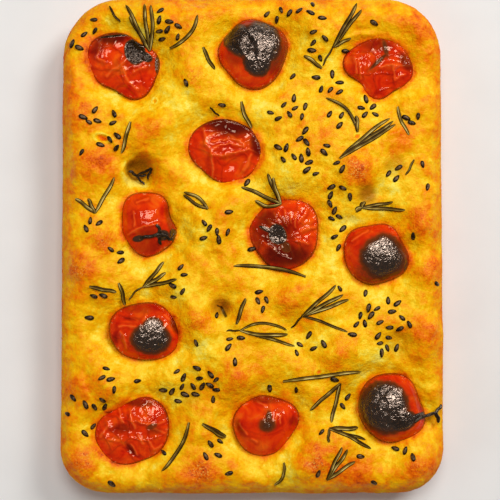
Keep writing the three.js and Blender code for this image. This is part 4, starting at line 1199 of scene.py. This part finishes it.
def skin_material():
    def build(graph):
        scorch = graph.attribute("scorch")
        edge = graph.attribute("rimward")
        mask = graph.plus(graph.attribute("char"), graph.sway(graph.noise(800.0, 4.0, 0.7), 0.22))
        red = red_colour(graph, scorch, edge)
        burnt = graph.span(mask, 0.3, 0.85)
        sooty = graph.span(mask, 1.05, 1.3, 1.0, 0.2)
        ridge = graph.math("ABSOLUTE", graph.minus(graph.noise(600.0, 2.0, 0.45, 1.0), 0.5))
        crackle = graph.times(ridge, graph.times(burnt, -1.0))
        juice = graph.times(graph.noise(1100.0, 2.0, 0.5), graph.span(edge, 0.86, 0.97))
        wrinkled = bumps(graph, (crackle, 1.0, 0.62), (juice, 1.0, 0.8))
        return {
            "Base Color": graph.blend(graph.span(mask, 0.02, 0.35), red, charred_colour(graph, mask)),
            "Roughness": graph.span(burnt, 0.0, 1.0, 0.1, 0.2),
            "Specular IOR Level": graph.times(graph.span(burnt, 0.0, 1.0, 0.27, 1.0), sooty),
            "Coat Weight": graph.times(graph.span(burnt, 0.3, 1.0, 0.03, 0.75), sooty),
            "Normal": wrinkled,
            "Coat Normal": wrinkled,
        }

    return material("Roasted tomato skin", build, **{
        "IOR": 1.7,
        "Specular Tint": (1.0, 0.68, 0.48, 1.0),
        "Coat Roughness": 0.13,
        "Coat IOR": 1.6,
    })


# Rosemary, stalk and calyx: leaves swept along their paths

LEAF_STATIONS = 26
# How far aside a leaf feels what it lies on, as a share of its width, and its middle's height above that, as
# a share of its thickness.
LEAF_FEEL = 0.35
LEAF_LIFT = 0.22
LEAF_WAVES = 9
THIN_LEAF = (0.85, 0.55)


def leaf_facts(heading, length, bow=0, breadth=1):
    return heading, length, bow, breadth


def leaf_points(foot, leaf, share):
    """Points of a leaf in plan, at shares of its length."""
    heading, length, bow, _ = leaf_facts(*leaf)
    dx, dy = towards(heading)
    along = share * length
    aside = 4 * share * (1 - share) * bow * length
    return foot[0] + dx * along - dy * aside, foot[1] + dy * along + dx * aside


def leaf_path(foot, leaf, foot_floor=-math.inf, wander=0.0):
    """Points along a leaf, lying over the hills and across the dips of what is under it."""
    heading, length = leaf[:2]
    dx, dy = towards(heading)
    s = np.linspace(0, 1, LEAF_STATIONS)
    x, y = leaf_points(foot, leaf, s)
    sway = wander * np.sin(s * LEAF_WAVES + heading) * s
    x, y = x - dy * sway, y + dx * sway
    reach = LEAF_WIDTH * LEAF_FEEL
    around = [(0, 0), (reach, 0), (-reach, 0), (0, reach), (0, -reach)]
    ground = np.max([surface_height(x + ox, y + oy) for ox, oy in around], axis=0)
    ground[0] = max(ground[0], foot_floor)
    run = np.abs(s[:, None] - s[None, :]) * length
    held = (ground[None, :] - LEAF_SAG * run).max(axis=1)
    return np.column_stack([x, y, held + LEAF_THICKNESS * LEAF_LIFT])


def leaf_section(graph, inputs):
    """An oval as wide and as thick as a leaf, with a groove along its middle."""
    half = graph.times(inputs["Width"], 0.5)
    circle = graph.add("GeometryNodeCurvePrimitiveCircle", {"Resolution": 18, "Radius": half})["Curve"]
    place = graph.add("ShaderNodeSeparateXYZ", {0: graph.add("GeometryNodeInputPosition")[0]})
    across = graph.math("DIVIDE", place["X"], half)
    inwards = graph.minus(1.0, graph.math("ABSOLUTE", across))
    flat = graph.times(place["Y"], graph.math("DIVIDE", inputs["Thickness"], inputs["Width"]))
    middle = graph.math("EXPONENT", graph.times(graph.math("POWER", across, 2.0), -14.0))
    grooved = graph.times(flat, graph.minus(1.0, graph.times(middle, inputs["Groove"])))
    shaped = graph.add("ShaderNodeCombineXYZ", {"X": place["X"], "Y": grooved})[0]
    section = graph.add("GeometryNodeSetPosition", {"Geometry": circle, "Position": shaped})[0]
    # The side of each leaf towards the light is stored, for painted light on it.
    for name, value in (("inwards", inwards), ("lit_side", graph.span(across, -0.2, 0.2))):
        stored = {"Geometry": section, "Name": name, "Value": value}
        section = graph.add("GeometryNodeStoreNamedAttribute", stored)[0]
    return section


def leaf_tree(finish):
    """Sweeps a grooved leaf section along each path, full in the middle and pointed at the tip."""
    tree, graph, inputs = geometry_tree("Leaf along a path", "Width", "Thickness", "Groove", "Foot share")
    section = leaf_section(graph, inputs)
    along = graph.attribute("along")
    start = graph.span(along, 0.0, 0.22, inputs["Foot share"], 1.0)
    tip = graph.math("SQRT", graph.minus(1.02, graph.math("POWER", along, 9.0)))
    fullness = graph.times(graph.times(start, tip), graph.attribute("breadth"))
    path = graph.add("GeometryNodeMeshToCurve", {0: inputs["Geometry"]})[0]
    upright = graph.add("GeometryNodeSetCurveNormal", {"Curve": path}, mode="Z_UP")[0]
    sized = graph.add("GeometryNodeSetCurveRadius", {"Curve": upright, "Radius": fullness})[0]
    swept = {"Curve": sized, "Profile Curve": section, "Fill Caps": True}
    swept["Scale"] = graph.add("GeometryNodeInputRadius")[0]
    end_tree(graph, graph.add("GeometryNodeCurveToMesh", swept)[0], finish)
    return tree


def make_sprig(name, tree, sprigs, sizes, wander=0.25):
    """Sprigs made as one piece: a chain of edges for each leaf, and the leaves of each meet at its foot."""
    paths, breadth, dry = [], [], []
    for foot, leaves in sprigs:
        floor = max(leaf_path(foot, leaf)[0][2] for leaf in leaves) - LEAF_THICKNESS * LEAF_LIFT
        for leaf in leaves:
            paths.append(leaf_path(foot, leaf, floor, wander))
            breadth.append(leaf_facts(*leaf)[3])
            dry.append(abs(math.sin(7 * leaf[0] + 3 * leaf[1])))
    starts = np.arange(len(paths)) * LEAF_STATIONS
    edges = [(start + i, start + i + 1) for start in starts.tolist() for i in range(LEAF_STATIONS - 1)]
    breadth = np.repeat(breadth, LEAF_STATIONS)
    chains = mesh_object(
        name, np.vstack(paths), edges=edges, breadth=breadth, thin=smooth(*THIN_LEAF, breadth),
        dry=np.repeat(dry, LEAF_STATIONS), along=np.tile(np.linspace(0, 1, LEAF_STATIONS), len(paths)))
    return plain_mesh(chains, tree, sizes)


def leaf_material():
    def build(graph):
        inwards = graph.attribute("inwards")
        band = graph.ramp(inwards, [
            (0.30, (0, 0, 0)),
            (0.52, (1, 1, 1)),
            (0.80, (1, 1, 1)),
            (0.96, (0.3, 0.3, 0.3)),
        ])
        level = graph.times(graph.span(graph.noise(260.0, 1.0, 0.5), 0.3, 0.7, 0.6, 1.0), band)
        # Painted light: the side of each leaf towards the light is paler.
        level = graph.times(level, graph.span(graph.attribute("lit_side"), 0.0, 1.0, 0.6, 1.0))
        level = graph.minus(level, graph.times(graph.attribute("dry"), 0.2))
        level = graph.minus(level, graph.times(graph.attribute("thin"), 0.3))
        colour = graph.ramp(level, [
            (0.02, rgb(42, 20, 4)),
            (0.30, rgb(84, 60, 12)),
            (0.60, rgb(140, 112, 38)),
            (0.90, rgb(216, 192, 112)),
        ])
        return {"Base Color": colour, "Roughness": graph.span(inwards, 0.2, 0.8, 0.6, 0.42)}

    sockets = {"Specular IOR Level": 0.12, "Specular Tint": (1.0, 0.86, 0.6, 1.0)}
    return material("Dried rosemary", build, **sockets)


def charred_material():
    def build(graph):
        cloud = graph.noise(700.0, 4.0, 0.65)
        colour = graph.ramp(cloud, [(0.38, rgb(16, 8, 4)), (0.60, rgb(44, 28, 14)), (0.74, rgb(120, 92, 54))])
        return {"Base Color": colour, "Normal": bumps(graph, (cloud, 0.9, 0.3))}

    return material("Charred stalk", build, **{"Roughness": 0.3, "Specular Tint": (1.0, 0.84, 0.66, 1.0)})


def make_rosemary():
    tree = leaf_tree(leaf_material())
    sizes = {"Width": LEAF_WIDTH * MM, "Thickness": LEAF_THICKNESS * MM, "Groove": 0.6, "Foot share": 0.55}
    for name, parts in SPRIGS.items():
        sprig = make_sprig(f"sprig_{name}", tree, [parts], sizes)
        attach(sprig, "root")
        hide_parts(f"rosemary_{name}")


def make_stalks():
    tree = leaf_tree(charred_material())
    sizes = {"Width": 1.3 * MM, "Thickness": 1.0 * MM, "Groove": 0.3, "Foot share": 0.9}
    stalk = make_sprig("dried_stalk", tree, BURNT_STALK, sizes, wander=0.3)
    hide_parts("burnt_stalk")
    calyx = make_sprig("tomato_05_calyx", tree, [CALYX], sizes, wander=0.4)
    twig = make_sprig("tomato_11_stalk", tree, [STALK], sizes, wander=0.3)
    for piece in (stalk, calyx, twig):
        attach(piece, "root")


# Sesame

SEED_SLOPE_STEP = 0.6


def seed_places():
    """Where the seeds lie: in drifts, and a few loose, none on another, on a leaf or over the edge."""
    draw = random_source(RANDOM_START)
    shares = np.arange(LEAF_PLACES + 1) / LEAF_PLACES
    stems = [*SPRIGS.values(), *BURNT_STALK, STALK]
    leaves = np.hstack([leaf_points(foot, leaf, shares) for foot, fan in stems for leaf in fan])
    seeds = []

    def lay(x, y, apart):
        if inset_at(np.array(x), np.array(y)) < SEED_EDGE:
            return False
        if any(math.hypot(x - seed[0], y - seed[1]) < apart for seed in seeds):
            return False
        if np.hypot(leaves[0] - x, leaves[1] - y).min() < SEED_BESIDE:
            return False
        if any(share_out(tomato, np.array(x), np.array(y)) < SEED_RIM for tomato in TOMATOES):
            return False
        seeds.append((x, y, draw() * 360, SEED_SMALLEST + SEED_SIZES * draw()))
        return True

    for cx, cy, reach, count in SEED_DRIFTS:
        placed = tries = 0
        while placed < count and tries < SEED_TRIES * count:
            beside = draw() < SEED_CLUMPED and placed > 0
            earlier = int(draw() * placed)
            angle = draw() * 2 * math.pi
            out = SEED_STEP * (1 + SEED_SPREAD * draw()) if beside else reach * math.sqrt(draw())
            start = seeds[-1 - earlier] if beside else (cx, cy)
            placed += lay(start[0] + out * math.cos(angle), start[1] + out * math.sin(angle), SEED_APART)
            tries += 1
    for _ in range(LOOSE_TRIES):
        x = (draw() - 0.5) * WIDTH
        lay(x, (draw() - 0.5) * LENGTH, LOOSE_APART)
    return seeds


def seed_shape(graph, inputs):
    """One seed: a ball drawn out to its sizes and narrowed to one end."""
    ball = graph.add("GeometryNodeMeshUVSphere", {"Segments": 12, "Rings": 8, "Radius": 0.5})["Mesh"]
    ball = graph.add("GeometryNodeTransform", {"Geometry": ball, "Rotation": (0, math.pi / 2, 0)})[0]
    at = graph.add("ShaderNodeSeparateXYZ", {0: graph.add("GeometryNodeInputPosition")[0]})
    narrow = graph.minus(1.0, graph.times(graph.plus(at["X"], 0.5), inputs["Narrowing"]))
    shaped = graph.add("ShaderNodeCombineXYZ", {
        "X": graph.times(at["X"], inputs["Length"]),
        "Y": graph.times(graph.times(at["Y"], inputs["Width"]), narrow),
        "Z": graph.times(at["Z"], inputs["Thickness"]),
    })[0]
    # The top of each seed is stored, for painted light on it.
    lit_top = {"Geometry": ball, "Name": "lit_top", "Value": graph.times(at["Z"], 2.0)}
    ball = graph.add("GeometryNodeStoreNamedAttribute", lit_top)[0]
    seed = graph.add("GeometryNodeSetPosition", {"Geometry": ball, "Position": shaped})[0]
    return graph.add("GeometryNodeSetShadeSmooth", {0: seed})[0]


def seed_tree(finish):
    """Sets a seed on each point, turned to its heading and lying flat on the crust."""
    tree, graph, inputs = geometry_tree("Seeds on the crust", "Length", "Width", "Thickness", "Narrowing")
    normal = graph.attribute("lie", data_type="FLOAT_VECTOR")
    flat = graph.add("FunctionNodeAlignRotationToVector", {"Vector": normal}, axis="Z")[0]
    heading = {"Axis": (0, 0, 1), "Angle": graph.attribute("heading")}
    turn = graph.add("FunctionNodeAxisAngleToRotation", heading)[0]
    turns = {"Rotation": flat, "Rotate By": turn}
    turned = graph.add("FunctionNodeRotateRotation", turns, rotation_space="LOCAL")[0]
    seeds = {"Points": inputs["Geometry"], "Instance": seed_shape(graph, inputs), "Rotation": turned}
    seeds["Scale"] = graph.attribute("size")
    end_tree(graph, graph.add("GeometryNodeInstanceOnPoints", seeds)[0], finish)
    return tree


def sesame_material():
    def build(graph):
        cloud = graph.noise(900.0, 3.0, 0.6)
        # Painted light: the top of each seed is lighter.
        lit_top = graph.span(graph.attribute("lit_top"), 0.35, 0.95)
        level = graph.times(lit_top, graph.span(cloud, 0.3, 0.65, 0.3, 1.0))
        colour = graph.ramp(level, [(0.0, rgb(14, 6, 2)), (0.5, rgb(38, 22, 11)), (1.0, rgb(116, 88, 54))])
        return {"Base Color": colour, "Normal": bumps(graph, (cloud, 0.5, 0.15))}

    return material("Black sesame", build, **{
        "Roughness": 0.34,
        "Specular IOR Level": 0.3,
        "Specular Tint": (1.0, 0.84, 0.68, 1.0),
    })


def make_sesame():
    x, y, heading, size = np.array(seed_places()).T
    climb_x, climb_y = slopes(surface_height, x, y, SEED_SLOPE_STEP)
    lie = np.column_stack([-climb_x, -climb_y, np.ones(len(x))])
    lie /= np.linalg.norm(lie, axis=1)[:, None]
    z = surface_height(x, y) + SEED_THICKNESS * (0.5 - SEED_BEDDED)
    places = np.column_stack([x, y, z])
    points = mesh_object("sesame_points", places, heading=np.radians(heading), size=size)
    attribute = points.data.attributes.new("lie", "FLOAT_VECTOR", "POINT")
    attribute.data.foreach_set("vector", lie.astype(np.float32).ravel())
    sizes = {"Length": SEED_LENGTH, "Width": SEED_WIDTH, "Thickness": SEED_THICKNESS}
    sizes = {**{name: value * MM for name, value in sizes.items()}, "Narrowing": 0.35}
    sesame = plain_mesh(points, seed_tree(sesame_material()), sizes, "black_sesame")
    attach(sesame, "root")
    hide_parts("bread")


# The stage: a pale floor, soft light from the far right, and the camera straight above

PIXEL = 0.39
PHOTO_SIDE = 500
PHOTO_MIDDLE = (-0.8, -1.6)
CAMERA_ABOVE = 620.0
FLOOR_HALF = 1500.0
# Lamps: place and side in metres, power, colour, and whether glossy skins show it.
LAMPS = {
    "key": ((0.71, 0.69, 1.05), 0.48, 10.8, (1.0, 0.99, 0.975), True),
    "overhead": ((0.03, 0.48, 1.33), 0.5, 8.2, (1.0, 0.99, 0.98), True),
    "fill": ((-0.7, -0.2, 0.6), 0.6, 1.3, (1.0, 0.98, 0.95), False),
}
ROOM_COLOUR = (1.0, 0.975, 0.95, 1)
ROOM_LIGHT = 0.13


def area_light(name, at, size, power, colour, glossy):
    lamp = bpy.data.lights.new(name, "AREA")
    lamp.shape = "SQUARE"
    lamp.size = size
    lamp.energy = power
    lamp.color = colour
    holder = add_object(name, lamp)
    holder.location = at
    holder.rotation_euler = (-holder.location).to_track_quat("-Z", "Y").to_euler()
    holder.visible_glossy = glossy


def make_stage():
    def build(graph):
        grain = graph.noise(40.0, 3.0, 0.5)
        return {"Base Color": graph.ramp(grain, [(0.3, rgb(232, 231, 229)), (0.7, rgb(236, 235, 233))])}

    corners = [(x * FLOOR_HALF, y * FLOOR_HALF, 0) for x, y in ((-1, -1), (1, -1), (1, 1), (-1, 1))]
    floor = mesh_object("table_top", corners, [(0, 1, 2, 3)], material("Pale table", build, Roughness=0.6))
    for name, lamp in LAMPS.items():
        area_light(name, *lamp)
    world = bpy.data.worlds.new("Soft room")
    world.use_nodes = True
    background = world.node_tree.nodes["Background"]
    background.inputs["Color"].default_value = ROOM_COLOUR
    background.inputs["Strength"].default_value = ROOM_LIGHT
    bpy.context.scene.world = world
    bpy.context.scene.view_settings.view_transform = "Standard"


def make_camera():
    lens = bpy.data.cameras.new("camera")
    lens.sensor_width = 36.0
    lens.lens = lens.sensor_width * CAMERA_ABOVE / (PIXEL * PHOTO_SIDE)
    camera = add_object("camera", lens)
    camera.location = (PHOTO_MIDDLE[0] * MM, PHOTO_MIDDLE[1] * MM, (CAMERA_ABOVE + CROWN) * MM)
    bpy.context.scene.camera = camera


make_camera()
make_stage()
make_bread()
skin_of_tomatoes = skin_material()
faces_of_tomatoes = tomato_faces()
for index, each in enumerate(TOMATOES, start=1):
    make_tomato(index, each, faces_of_tomatoes, skin_of_tomatoes)
make_rosemary()
make_stalks()
make_sesame()
